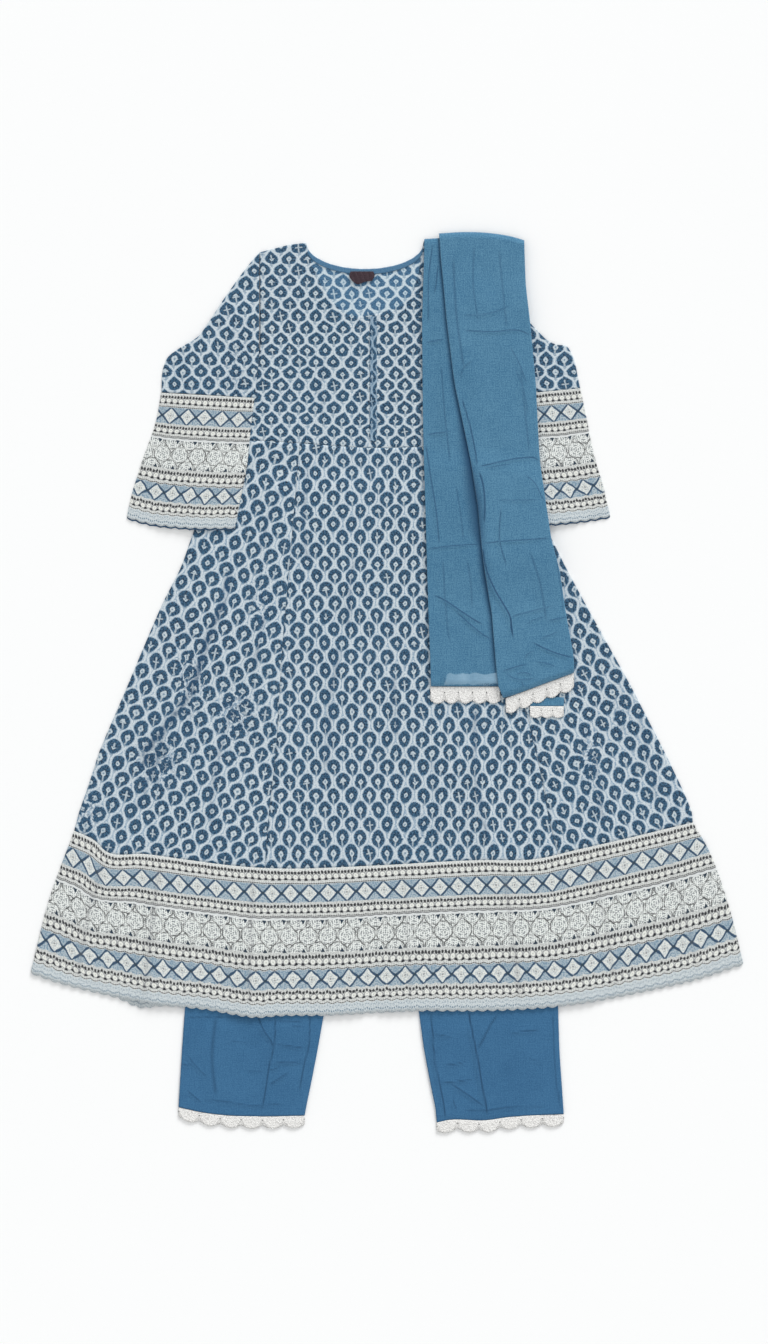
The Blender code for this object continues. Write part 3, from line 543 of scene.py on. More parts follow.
def beyond(rows, left, right, x, y):
    """How far a place lies outside two named columns of a table of rows."""
    return np.maximum(read_column(rows, left, y) - x, x - read_column(rows, right, y))


def column_line(rows, name, y_from, y_to):
    """One named column of a table of rows, as a line from one height to another."""
    y = np.linspace(y_from, y_to, COLUMN_POINTS)
    return Line(np.column_stack([read_column(rows, name, y), y]), smooth=False)


def straight(start, end):
    return Line([start, end], smooth=False)


def mirrored(line):
    points = line.points.copy()
    points[:, 0] = 2 * BODICE_AXIS - points[:, 0]
    return Line(points, smooth=False)


def ease(value, start, end):
    """Goes smoothly from 0 at start to 1 at end."""
    share = np.clip((value - start) / (end - start), 0.0, 1.0)
    return share * share * (3 - 2 * share)


def bell(away, width):
    """1 at a place, and soon 0 beyond the width on both sides of it."""
    return np.exp(-((away / width) ** 2))


def faded_ends(along, length, fade_length):
    """1 along a line, going to 0 at both its ends."""
    return ease(along, 0.0, fade_length) * ease(length - along, 0.0, fade_length)


def patch(sides, across, down):
    """A grid of points, rows by columns, that fills four lines: left, right, top and bottom."""
    left, right, top, bottom = sides
    u = across[None, :, None]
    v = down[:, None, None]
    left, right = left(down)[:, None], right(down)[:, None]
    top, bottom = top(across)[None], bottom(across)[None]
    edges = (1 - u) * left + u * right + (1 - v) * top + v * bottom
    upper = (1 - u) * left[:1] + u * right[:1]
    lower = (1 - u) * left[-1:] + u * right[-1:]
    return edges - (1 - v) * upper - v * lower


def even(length, step):
    """Shares of a length, about one step apart."""
    return np.linspace(0.0, 1.0, max(3, int(round(length / step)) + 1))


def along_rows(points):
    """How far each point lies along its row, from the row's middle."""
    steps = np.linalg.norm(np.diff(points, axis=1), axis=2)
    reached = np.concatenate([np.zeros((len(points), 1)), np.cumsum(steps, axis=1)], axis=1)
    return reached - reached[:, [reached.shape[1] // 2]]


def down_columns(points):
    """How far each point lies down its column, from the first row."""
    steps = np.linalg.norm(np.diff(points, axis=0), axis=2)
    return np.concatenate([np.zeros((1, points.shape[1])), np.cumsum(steps, axis=0)], axis=0)


def past_end(points, distance, reach):
    """Lengthens the last rows: each column runs on by its distance, spread over the reach above the edge."""
    run = points[-1] - points[-3]
    run = run / np.linalg.norm(run, axis=1, keepdims=True)
    from_edge = down_columns(points)[-1] - down_columns(points)
    share = np.clip(1 - from_edge / reach, 0.0, 1.0) ** 1.5
    return points + share[..., None] * distance[None, :, None] * run[None]


def to_segment(start, step, length, x, y):
    """The nearest place on a straight segment, as a share of it, and the distance to it."""
    share = np.clip(((x - start[0]) * step[0] + (y - start[1]) * step[1]) / length**2, 0, 1)
    return share, np.hypot(x - start[0] - share * step[0], y - start[1] - share * step[1])


def nearest_on(points, x, y):
    """Distance to a polyline, its sign by the side, and how far along it the nearest place is."""
    line = Line(points)
    line = line(np.linspace(0, 1, 4 * len(points)))
    best = np.full(np.shape(x), np.inf)
    side = np.zeros(np.shape(x))
    along = np.zeros(np.shape(x))
    normal = np.zeros((*np.shape(x), 2))
    reached = 0.0
    for start, end in zip(line[:-1], line[1:]):
        step = end - start
        length = math.hypot(*step)
        share, away = to_segment(start, step, length, x, y)
        closer = away < best
        best = np.where(closer, away, best)
        cross = step[0] * (y - start[1]) - step[1] * (x - start[0])
        side = np.where(closer, np.sign(cross), side)
        along = np.where(closer, reached + share * length, along)
        normal[closer] = (-step[1] / length, step[0] / length)
        reached += length
    return best, side, along, reached, normal


def crease_height(creases, x, y):
    """Soft-topped creases, each steeper on one side and fading out at both its ends."""
    height = np.zeros(np.shape(x))
    for points, half_width, tall, steeper in creases:
        away, side, along, length, _ = nearest_on(points, x, y)
        width = np.where(side > 0, half_width / steeper, half_width)
        fade = faded_ends(along, length, min(FOLD_FADE, CREASE_FADE_SHARE * length))
        height += tall * fade * bell(away, width)
    return height


def fold_shade(name, y, reach, width):
    """One painted shade of the fold's hollow, fading with the distance from the fold."""
    return read_column(FOLD_HOLLOW, name, y) * bell(np.maximum(reach, 0.0), width)


def fold_hollow(points):
    """The painted shade on the left stretch beside the fold."""
    x, y = points[..., 0], points[..., 1]
    fold = read_column(DUPATTA_ROWS, "fold", y)
    return fold_shade("dark", y, fold - OVERHANG - x, read_column(FOLD_HOLLOW, "width", y))


def fold_shoulder(points):
    """The painted shade on the right stretch where it turns over the fold."""
    x, y = points[..., 0], points[..., 1]
    fold = read_column(DUPATTA_ROWS, "fold", y)
    return fold_shade("over_fold", y, x - fold + OVERHANG, OVER_FOLD_WIDTH)


def crease_shade_lines(creases, points, dark=0.0, spread_share=0.27):
    """How much painted shade each crease lays on the cloth, along the foot of its steeper side."""
    x, y = points[..., 0], points[..., 1]
    dark = dark + np.zeros(np.shape(x))
    for line, half_width, tall, steeper in creases:
        away, side, along, length, _ = nearest_on(line, x, y)
        fade = faded_ends(along, length, min(CREASE_SHADE_FADE, CREASE_SHADE_FADE_SHARE * length))
        offset = CREASE_SHADE_OFFSET * half_width / steeper
        near = bell(side * away - offset, max(CREASE_SHADE_WIDTH, spread_share * half_width))
        dark = np.maximum(dark, CREASE_SHADE_SHARE * min(tall, CREASE_SHADE_TALLEST) * fade * near)
    return {"Crease": np.stack([np.minimum(dark, 1.0), 0 * dark], axis=-1)}


def crushed_share(points):
    """How crushed the printed cloth is, from 0 to 1: how much its print is pulled about, and how much painted
    shade lies on it in streaks.
    """
    share = np.zeros(points.shape[:-1])
    for x, y, half_width, half_height, strength in zip(*KURTA_CRUSHED.values()):
        across = (points[..., 0] - x) / half_width
        down = (points[..., 1] - y) / half_height
        share = np.maximum(share, strength * np.exp(-(across**2) - down**2))
    return share


def soft_folds(x, y):
    """The tallest of the soft folds at a place."""
    height = np.zeros(np.shape(x))
    for points, half_width, tall, to_hem in SOFT_FOLDS:
        points = np.array(points, float)
        runs = np.hypot(*np.diff(points, axis=0).T)
        for index, run in enumerate(runs):
            step = points[index + 1] - points[index]
            share, away = to_segment(points[index], step, run, x, y)
            along = share * run + runs[:index].sum()
            fade = ease(along, 0.0, FOLD_FADE) if to_hem else faded_ends(along, runs.sum(), FOLD_FADE)
            height = np.maximum(height, tall * fade * bell(away, half_width))
    return height


def squeezed(x, y):
    """Where the print would lie on flat cloth: folds take cloth up, so motifs draw together beside them."""
    shift_x = np.zeros(np.shape(x))
    shift_y = np.zeros(np.shape(x))
    folds = [(points, half_width, tall) for points, half_width, tall, _ in SOFT_FOLDS]
    folds += [(points, 2 * half_width, 2 * tall) for points, half_width, tall, _ in KURTA_CREASES]
    for points, half_width, tall in folds:
        away, side, along, length, normal = nearest_on(points, x, y)
        fade = faded_ends(along, length, CREASE_FADE_SHARE * length)
        near = bell(away, FOLD_SQUEEZE_REACH * half_width)
        size = FOLD_SQUEEZE * tall * fade * near * np.tanh(side * away / half_width)
        shift_x += size * normal[..., 0]
        shift_y += size * normal[..., 1]
    return x + shift_x, y + shift_y


def outside_trousers(x, y):
    """How far a place lies outside the trousers' outline."""
    left_leg = beyond(LEG_ROWS, "left_outer", "left_inner", x, y)
    right_leg = beyond(LEG_ROWS, "right_inner", "right_outer", x, y)
    across = np.minimum(left_leg, right_leg)
    return np.hypot(np.maximum(across, 0.0), np.maximum(y - WAIST_TOP, 0.0))


def over_trousers(x, y, reach=0.0):
    away = outside_trousers(x, y) - reach
    return OVER_TROUSERS * (1 - ease(away, LIFT_FULL, LIFT_FULL + LIFT_RAMP))


def open_cloth(x, y):
    """1 where nothing lies on the kurta's front, 0 under the dupatta, the sleeves and the cuffs."""
    beside = beyond(DUPATTA_ROWS, "left", "right", x, y)
    below = DUPATTA_CLEAR_Y - y
    away = np.where(below > 0, np.maximum(beside, below), beside)
    from_axis = np.abs(x - BODICE_AXIS)
    clear_of_sleeves = 1 - ease(from_axis, *CLEAR_OF_SLEEVE_X) * ease(y, *CLEAR_OF_SLEEVE_Y)
    return ease(away, *CLEAR_OF_DUPATTA) * clear_of_sleeves


def ripple(x, y):
    """Slow shallow waves all over the kurta's front."""
    waves = np.sin(x / 23 + 1.7 * np.sin(y / 90)) * np.sin(y / 61 + 0.9 * np.sin(x / 75))
    waves += 0.6 * np.sin(x / 11 + y / 47 + 2.0) * np.sin(y / 38 - x / 90)
    return RIPPLE_HEIGHT * waves


def kurta_back(x, y):
    return over_trousers(x, y)


def kurta_front(x, y):
    full = EASE_IN_CLOTH + ripple(x, y) + crease_height(KURTA_CREASES, x, y)
    full = full + crease_height(BORDER_CREASES, x, y)
    lift = soft_folds(x, y) + open_cloth(x, y) * full
    return over_trousers(x, y) + LAYER + lift


def on_floor(x, y):
    return 0 * x


def on_back_leg(x, y):
    return LAYER + 0 * x


def leg_front(x, y):
    """A trouser leg's front, full and creased only where it shows below the kurta."""
    full = LEG_EASE + LEG_RIPPLE * ripple(x * 1.3, y) + crease_height(LEG_CREASES, x, y)
    return LAYER + full * ease(-y, *LEG_FULL_FROM) * ease(y - LEG_FULL_TO, 0, LEG_HEM_FADE)


def sleeve_base(x, y):
    """The underside of a sleeve or cuff: level with the bodice at the top, then lying over the kurta."""
    left_x = np.where(x < BODICE_AXIS, x, 2 * BODICE_AXIS - x)
    away = read_column(SIDE_UNDER_SLEEVE, "x", y) - left_x
    lift = (1 - ease(away, LIFT_FULL, LIFT_FULL + LIFT_RAMP)) * ease(-y, -SLEEVE_LIFT_FROM, -SLEEVE_LIFT_TO)
    return lift * (OVER_KURTA + over_trousers(x, y, NEXT_LAYER_REACH))


def dupatta_base(x, y):
    """The underside of the dupatta, over the kurta and over the right sleeve."""
    low, full, level, start = OVER_SLEEVE_Y
    over_sleeve = ease(x, *OVER_SLEEVE_X) * ease(y, low, full) * (1 - ease(y, level, start))
    return OVER_KURTA + over_trousers(x, y, NEXT_LAYER_REACH) + OVER_SLEEVE * over_sleeve


def over_left_stretch(x, y):
    return dupatta_base(x, y) + LAYER


def colour(red, green, blue):
    """A colour of 0 to 255 as Blender's linear one."""
    values = [value / 255 for value in (red, green, blue)]
    linear = [v / 12.92 if v <= 0.04045 else ((v + 0.055) / 1.055) ** 2.4 for v in values]
    return (*linear, 1.0)


class Value:
    """A number that varies over a surface. Sums, products and functions of values make Math nodes."""

    def __init__(self, tree, socket):
        self.tree = tree
        self.socket = socket

    def maths(self, operation, *others):
        node = self.tree.nodes.new("ShaderNodeMath")
        node.operation = operation
        for socket, value in zip(node.inputs, (self, *others)):
            if isinstance(value, Value):
                self.tree.links.new(value.socket, socket)
            else:
                socket.default_value = value
        return Value(self.tree, node.outputs[0])

    def __add__(self, other):
        return self.maths("ADD", other)

    def __sub__(self, other):
        return self.maths("SUBTRACT", other)

    def __mul__(self, other):
        return self.maths("MULTIPLY", other)

    def __truediv__(self, other):
        return self.maths("DIVIDE", other)

    def __abs__(self):
        return self.maths("ABSOLUTE")

    def middle_fraction(self):
        """The signed distance to the nearest whole number."""
        return (self + 0.5).maths("FRACT") - 0.5

    def whole(self):
        """The nearest whole number."""
        return (self + 0.5).maths("FLOOR")

    def length_with(self, other):
        return (self * self + other * other).maths("SQRT")

    def rise(self, start, end):
        """0 below start and 1 above end."""
        node = self.tree.nodes.new("ShaderNodeMapRange")
        node.interpolation_type = "SMOOTHSTEP"
        self.tree.links.new(self.socket, node.inputs["Value"])
        node.inputs["From Min"].default_value = start
        node.inputs["From Max"].default_value = end
        return Value(self.tree, node.outputs["Result"])

    def opposite(self):
        """1 less this value."""
        return self * -1.0 + 1.0

    def repeat(self, pitch, shift=0.0):
        """The signed distance to the nearest of a row of places. The shift is a share of the pitch."""
        return (self / pitch + shift).middle_fraction() * pitch

    def fall(self, start, end):
        """1 below start and 0 above end."""
        return self.rise(start, end).opposite()

    def within(self, low, high, soft):
        """1 between low and high, with soft edges."""
        return self.rise(low - soft, low + soft) * self.fall(high - soft, high + soft)

    def choose(self, if_zero, if_one):
        """Blends two values by this one."""
        return if_zero + (if_one - if_zero) * self


class Cloth:
    """A cloth material being made: its coordinates, its shader, and the helpers that colour it."""

    def __init__(self, name, rough=0.85, sheen=0.15):
        self.material = bpy.data.materials.new(name)
        self.material.use_nodes = True
        self.tree = self.material.node_tree
        self.shader = self.tree.nodes["Principled BSDF"]
        self.shader.inputs["Roughness"].default_value = rough
        self.shader.inputs["Sheen Weight"].default_value = sheen
        self.shader.inputs["Sheen Roughness"].default_value = 0.5
        self.shader.inputs["Specular IOR Level"].default_value = 0.25

    def coordinates(self, uv_name):
        node = self.tree.nodes.new("ShaderNodeUVMap")
        node.uv_map = uv_name
        split = self.tree.nodes.new("ShaderNodeSeparateXYZ")
        self.tree.links.new(node.outputs[0], split.inputs[0])
        return Value(self.tree, split.outputs[0]), Value(self.tree, split.outputs[1])

    def millimetres(self, uv_name):
        """Coordinates that are kept in metres, in millimetres."""
        return [value / METRES for value in self.coordinates(uv_name)]

    def vector(self, x, y):
        node = self.tree.nodes.new("ShaderNodeCombineXYZ")
        self.tree.links.new(x.socket, node.inputs[0])
        self.tree.links.new(y.socket, node.inputs[1])
        return node.outputs[0]

    def noise(self, x, y, size, detail=2.0):
        """Smooth noise from 0 to 1 with the given size of its patches."""
        node = self.tree.nodes.new("ShaderNodeTexNoise")
        node.noise_dimensions = "2D"
        node.inputs["Scale"].default_value = 1.0 / size
        node.inputs["Detail"].default_value = detail
        self.tree.links.new(self.vector(x, y), node.inputs["Vector"])
        return Value(self.tree, node.outputs["Fac"])

    def random(self, x, y):
        """One random number for each whole pair of coordinates."""
        node = self.tree.nodes.new("ShaderNodeTexWhiteNoise")
        node.noise_dimensions = "2D"
        self.tree.links.new(self.vector(x, y), node.inputs["Vector"])
        return Value(self.tree, node.outputs["Value"])

    def mix(self, share, first, second):
        """Blends two colours, each a colour or the result of another mix."""
        node = self.tree.nodes.new("ShaderNodeMix")
        node.data_type = "RGBA"
        self.tree.links.new(share.socket, node.inputs[0])
        for socket, value in ((node.inputs[6], first), (node.inputs[7], second)):
            if isinstance(value, tuple):
                socket.default_value = value
            else:
                self.tree.links.new(value, socket)
        return node.outputs[2]

    def finish(self, base, bump, depth=0.0002):
        self.tree.links.new(base, self.shader.inputs["Base Color"])
        node = self.tree.nodes.new("ShaderNodeBump")
        node.inputs["Strength"].default_value = 1.0
        node.inputs["Distance"].default_value = depth
        self.tree.links.new(bump.socket, node.inputs["Height"])
        self.tree.links.new(node.outputs[0], self.shader.inputs["Normal"])
        return self.material


def weave(cloth, x, y, thread=0.6):
    """The bump of a plain weave, for X and Y in millimetres."""
    turns = math.pi / thread
    over = (x * turns).maths("SINE") * (y * turns).maths("SINE")
    slub = cloth.noise(x / SLUB_STRETCH, y, 0.7) + cloth.noise(x, y / SLUB_STRETCH, 0.7)
    return over * 0.35 + slub * 0.8


def nearest_motif(cloth, u, v):
    """How far a place is from the middle of its motif, in millimetres, and the motif's two random numbers."""
    first_x, first_y = u.middle_fraction() * MOTIF_PITCH, v.middle_fraction() * MOTIF_HEIGHT
    second_x = (u + 0.5).middle_fraction() * MOTIF_PITCH
    second_y = (v + 0.5).middle_fraction() * MOTIF_HEIGHT
    farther = first_x.length_with(first_y) - second_x.length_with(second_y)
    is_second = farther.maths("GREATER_THAN", 0.0)
    row, column, between = v.whole(), u.whole(), (u + 0.5).whole()
    cell = cloth.random(is_second.choose(column, between + 0.37), row + is_second * 7.3)
    other = cloth.random(row + 11.3, is_second.choose(column, between) * 3.1)
    return is_second.choose(first_x, second_x), is_second.choose(first_y, second_y), cell, other


def leaf_shape(px, py, other, rough, upper):
    """The leaf, 0 at its middle and 1 at its outline, and then without its tip, sharp on the bodice."""
    narrow = (other - 0.5) * 0.22 + 0.96
    sx = px / (upper * 0.9 + 10.0) / narrow * (py.fall(-14.0, 2.0) * upper.opposite() * 0.16 + 1.0)
    sy = py / (upper * 0.9 + 11.2)
    round_part = sx.length_with(sy)
    pointed = abs(sx) + abs(sy)
    tip = py.rise(-1.0, 9.0) * (upper * 0.6 + 0.04)
    flat_foot = py.fall(-11.5, -6.5) * upper * 0.3
    return tip.choose(round_part, pointed) + flat_foot + rough * 0.16, round_part


def leaf_heart(px, py, cell, other, rough, round_part):
    """The pale flower or cross in a leaf, with its stem, and the darker centre of the flower."""
    flower_size = other * 0.4 + 0.66
    fx = px / 4.7 / flower_size
    fy = (py + 0.6) / 5.8 / flower_size
    flower = (fx.length_with(fy) * 0.5 + (abs(fx) + abs(fy)) * 0.5 + rough * 0.45).fall(0.8, 1.1)
    arms = (abs(px) - 0.7).maths("MINIMUM", abs(py + 1.0) - 0.5)
    cross_arms = (arms + rough * 0.8).fall(0.0, 0.9) * round_part.fall(0.42, 0.58)
    is_cross = cell.rise(0.84, 0.85)
    heart = is_cross.choose(flower, cross_arms * 0.85)
    centre = px.length_with(py + 0.8).fall(0.8, 1.9) * is_cross.opposite() * 0.7
    stem_strength = other.rise(0.25, 0.27) * 0.72
    stem = (abs(px) - (other * 0.4 + 0.55)).fall(-0.1, 0.7) * py.within(-11.0, -2.0, 1.2) * stem_strength
    return heart.maths("MAXIMUM", stem), centre


def print_material(name):
    """The half-drop leaf print. The Print coordinates count repeats, and the Weave ones are in metres."""
    dark, mid, pale, net, ground, speck = (colour(*tone) for tone in PRINT_TONES[name])
    cloth = Cloth(name)
    x, y = cloth.millimetres("Weave")
    u, v = cloth.coordinates("Print")
    u = u + (cloth.noise(x, y, 42.0) - 0.5) * 0.22
    v = v + (cloth.noise(x + 300.0, y, 42.0) - 0.5) * 0.18
    px, py, cell, other = nearest_motif(cloth, u, v)
    rough = cloth.noise(x, y, 2.6) - 0.5
    pressed, crushed = cloth.coordinates("Crease")
    px = px + (cloth.noise(x, y, 9.0) - 0.5) * (crushed * 16.0 + 1.8)
    py = py + (cloth.noise(x + 200.0, y, 8.0) - 0.5) * crushed * 18.0 + (other - 0.5) * 1.0
    lean = (cell - 0.5) * 0.4
    px, py = px + py * lean, py - px * lean
    leaf, round_part = leaf_shape(px, py, other, rough, y.rise(*BODICE_MOTIFS_FROM))
    light, centre = leaf_heart(px, py, cell, other, rough, round_part)

    # The leaf: a worn dark ring with ticks round its heart
    mottle = cloth.noise(x, y, 2.2, 3.0).rise(0.36, 0.66)
    foot = py.fall(-13.0, -4.0) * 0.5
    ring = cloth.mix((mottle * 0.72).maths("MAXIMUM", foot), dark, mid)
    around = px.maths("ARCTAN2", py) * 10.0 + other * 6.0
    ticks = around.maths("SINE").rise(0.1, 0.9) * leaf.rise(0.5, 0.66) * 0.6
    ring = cloth.mix(ticks, ring, mid)
    specks = cloth.noise(x, y, 2.4, 1.0).rise(0.5, 0.66)
    motif = cloth.mix(light, ring, cloth.mix(specks * 0.35, pale, speck))
    motif = cloth.mix(centre, motif, mid)
    washed = cloth.noise(x, y, 120.0).rise(0.3, 0.8) * 0.14
    motif = cloth.mix(washed, motif, mid)

    # The net between the leaves, with a drip below each
    between = cloth.mix(specks * 0.85, ground, speck)
    between = cloth.mix(leaf.within(1.1, 1.4, 0.1) * 0.9, between, net)
    drip = px.length_with((py + 13.0) * 0.5).fall(1.6, 3.4) * 0.5
    between = cloth.mix(drip, between, mid)
    base = cloth.mix(leaf.fall(0.94, 1.03), between, motif)

    # The grain of the cloth, and then painted shade over all of it: along the creases, and in broken streaks
    # where the cloth is crushed
    grain = cloth.noise(x + 70.0, y, 1.7, 1.0).rise(0.42, 0.68)
    base = cloth.mix(grain * 0.24, base, mid)
    light_grain = cloth.noise(x, y + 70.0, 1.7, 1.0).rise(0.54, 0.7)
    base = cloth.mix(light_grain * 0.1, base, pale)
    broken = cloth.noise(x, y, 10.0).rise(0.34, 0.6) * 0.65 + 0.35
    streaks = cloth.noise(x, y + 400.0, 5.0).rise(0.48, 0.6) * crushed * 0.5
    creased = (pressed * broken * 0.66).maths("MAXIMUM", streaks)
    base = cloth.mix(creased, base, colour(*CREASE_SHADE_TONE))
    return cloth.finish(base, weave(cloth, x, y))


def bead_band(cloth, tones, s, h, x, y):
    """One band of beads: faint rings, dark blots, beads, triangles between them and a dotted line."""
    grey, dark = tones["grey"], tones["dark"]
    rough = (cloth.noise(x, y, 3.0) - 0.5) * 2.2
    specks = cloth.noise(x, y, 2.2, 1.0).rise(0.52, 0.64)
    base = cloth.mix(specks * 0.28, tones["paper"], grey)
    rings = s.repeat(4.8).length_with((h - 0.09) * BEAD_HEIGHT).within(1.0, 1.9, 0.35)
    base = cloth.mix(rings * 0.36, base, grey)
    blots = (s.repeat(5.0).length_with((h - 0.27) * BEAD_HEIGHT * 0.8) + rough).fall(1.6, 2.5)
    base = cloth.mix(blots * 0.97, base, dark)
    bead = s.repeat(10.0).length_with((h - 0.53) * BEAD_HEIGHT) + rough * 0.4
    base = cloth.mix(bead.within(3.5, 4.9, 0.4) * 0.75, base, grey)
    base = cloth.mix(bead.fall(3.1, 3.9), base, tones["cream"])
    base = cloth.mix(bead.fall(0.6, 1.3) * 0.35, base, grey)
    side = abs(s.repeat(10.0, 0.5)) - (h - 0.55) * 15.0 + rough * 0.5
    triangle = side.fall(-0.4, 0.5) * h.within(0.6, 0.76, 0.015)
    base = cloth.mix(triangle, base, dark)
    dots = s.repeat(3.4).length_with((h - 0.84) * BEAD_HEIGHT)
    base = cloth.mix(h.within(0.8, 0.87, 0.015) * dots.rise(0.8, 1.6) * 0.3, base, dark)
    stitched = abs((s / 3.4).middle_fraction()).rise(0.1, 0.3) * 0.5 + 0.5
    return cloth.mix(h.within(0.915, 0.975, 0.012) * stitched, base, dark)


def diamond_band(cloth, tones, s, h, high, x, y):
    """A row of pale diamonds between crossing dark lines, on a speckled ground."""
    ground, speck = tones["ground"], tones["speck"]
    dx = abs(s.repeat(DIAMOND_PITCH))
    level = (h - 0.5) * high
    dy = abs(level)
    reach = dx + dy * 0.95
    specks = cloth.noise(x, y, 2.2, 1.0).rise(0.48, 0.6)
    base = cloth.mix(specks * 0.75, ground, speck)
    low = level.fall(-11.0, 4.0) * dx.rise(6.0, 13.0) * 0.3
    base = cloth.mix(low, base, speck)
    half_line = (dy * -0.14 + 4.6) * 0.5
    line = (abs(reach - DIAMOND_REACH) - half_line).fall(-0.4, 0.8)
    other_reach = dx * -1.0 + DIAMOND_PITCH + dy * 0.95
    crossing = (abs(other_reach - DIAMOND_REACH) - half_line).fall(-0.4, 0.8)
    base = cloth.mix(line.maths("MAXIMUM", crossing) * 0.92, base, tones["line_blue"])
    middle = (dx * -1.0 + DIAMOND_PITCH / 2).length_with(level).fall(1.2, 3.4) * 0.8
    base = cloth.mix(middle, base, tones["crossing"])
    speckled = cloth.mix(specks * 0.6 + 0.12, tones["cream"], ground)
    base = cloth.mix(reach.fall(10.9, 11.7), base, speckled)
    flower = dx.length_with(level)
    petals = flower.within(2.9, 4.4, 0.5) * abs(dx - dy).fall(0.8, 2.0).opposite() * 0.45
    heart = flower.fall(1.0, 2.0) * 0.75
    return cloth.mix(petals.maths("MAXIMUM", heart), base, tones["grey"])


def flower_band(cloth, tones, s, h, high, x, y):
    """A row of big scalloped flowers, and half flowers between them at both edges."""
    level = (h - 0.5) * high
    mx, my = s.repeat(FLOWER_PITCH), level
    ox, oy = s.repeat(FLOWER_PITCH, 0.5), abs(level) - 23.0
    is_outer = (mx.length_with(my) - ox.length_with(oy)).maths("GREATER_THAN", 0.0)
    fx = is_outer.choose(mx, ox)
    fy = is_outer.choose(my, oy)
    away = fx.length_with(fy)
    angle = fx.maths("ARCTAN2", fy)
    petal = abs((angle * 4.0).maths("SINE"))
    rough = cloth.noise(x, y, 2.6) - 0.5
    past = away - petal * 1.3 - 11.9 + rough * 1.6
    broken = cloth.noise(x, y, 9.0).rise(0.34, 0.56)
    dot_y = ((s / 3.3).whole() * 0.5 + level / 3.0).middle_fraction() * 3.0
    dotted = (s.repeat(3.3).length_with(dot_y) + rough * 1.8).fall(0.5, 1.3) * 0.6
    base = cloth.mix(dotted, tones["white"], tones["dots"])
    base = cloth.mix(past.within(-0.1, 1.6, 0.4) * (broken * 0.6 + 0.35), base, tones["outline"])
    around = abs((angle * 2.5 + rough).maths("SINE"))
    rows = abs((away / 4.1 + 0.1).middle_fraction())
    holes = rows.fall(0.14, 0.32) * around.rise(0.5, 0.86) * past.fall(-1.6, -0.6)
    base = cloth.mix(holes * 0.75, base, tones["dots"])
    base = cloth.mix(away.fall(0.8, 1.7) * 0.7, base, tones["dots"])
    from_edge = (abs(level) * -1.0 + high / 2) * 0.9
    notch = abs(s.repeat(FLOWER_PITCH, 0.25)) * 1.7 + from_edge
    small = abs(s.repeat(FLOWER_PITCH / 2, 1.0)) + from_edge
    teeth = notch.fall(5.4, 6.4).maths("MAXIMUM", small.fall(1.9, 2.9) * 0.7)
    return cloth.mix(teeth, base, tones["teeth"])


def hem_band(cloth, tones, s, h, x, y):
    """The plain hem with its two rows of stitches."""
    specks = cloth.noise(x, y, 2.0, 1.0).rise(0.5, 0.64) * 0.7
    base = cloth.mix(specks, tones["hem"], tones["hem_speck"])
    stitch = h.within(0.25, 0.31, 0.015) * (s / 3.4).middle_fraction().rise(-0.15, 0.05)
    second = h.within(0.08, 0.12, 0.015) * (s / 4.1).middle_fraction().rise(-0.1, 0.1) * 0.6
    return cloth.mix(stitch.maths("MAXIMUM", second) * 0.85, base, tones["stitch"])


def border_material(name):
    """The banded border. The Border coordinates run along the band and from its top, in metres."""
    cloth = Cloth(name, sheen=0.1)
    x, y = cloth.millimetres("Weave")
    s, down = cloth.millimetres("Border")
    s = s + (cloth.noise(x, y, 30.0) - 0.5) * 1.6
    t = down / BORDER_HEIGHT + (cloth.noise(x, y + 500.0, 36.0) - 0.5) * 0.012
    tones = {key: colour(*tone) for key, tone in BORDER_TONES.items()}
    base = None
    for start, end, kind in BORDER_BANDS:
        h = (t - start) / (end - start)
        high = (end - start) * BORDER_HEIGHT
        if kind == "beads":
            band = bead_band(cloth, tones, s, h, x, y)
        elif kind == "diamonds":
            band = diamond_band(cloth, tones, s, h, high, x, y)
        elif kind == "flowers":
            band = flower_band(cloth, tones, s, h, high, x, y)
        elif kind == "line":
            band = cloth.mix(h.within(0.0, 0.34, 0.1) * 0.8, tones["line_paper"], tones["dark"])
        else:
            band = hem_band(cloth, tones, s, h, x, y)
        base = band if base is None else cloth.mix(t.rise(start - BAND_EDGE, start + BAND_EDGE), base, band)
    grain = cloth.noise(x + 70.0, y, 1.5, 1.0).rise(0.46, 0.72)
    base = cloth.mix(grain * 0.2, base, tones["grey"])
    # Painted shade along the creases, in grey
    pressed, _ = cloth.coordinates("Crease")
    base = cloth.mix(pressed * 0.35, base, tones["grey"])
    return cloth.finish(base, weave(cloth, x, y))


def plain_material(name, tone, light, rough=0.82, streaks=0.3, sheer=False):
    """Plain dyed cloth with slubs: threads a little lighter or darker run both ways."""
    tone, light, shadow = colour(*tone), colour(*light), colour(*PLAIN_SHADOW)
    cloth = Cloth(name, rough=rough, sheen=0.25)
    x, y = cloth.millimetres("Weave")
    warp = cloth.noise(x, y / SLUB_STRETCH, 1.5, 1.0)
    weft = cloth.noise(x / SLUB_STRETCH, y, 1.5, 1.0)
    grain = cloth.noise(x, y, 1.8, 1.0)
    patches = cloth.noise(x, y, 70.0)
    threads = (warp - 0.5) * 0.8 + (weft - 0.5) * 0.8 + (grain - 0.5) * 2.4
    share = threads * (streaks * 2.2) + (patches - 0.5) * 0.35 + 0.5
    base = cloth.mix(share.rise(0.0, 1.0), tone, light)
    # Painted shade along the creases, in the shadow tone
    pressed, _ = cloth.coordinates("Crease")
    base = cloth.mix(pressed, base, shadow)
    if sheer:
        base = sheer_end(cloth, base, grain, x, y)
    return cloth.finish(base, weave(cloth, x, y, 0.8))


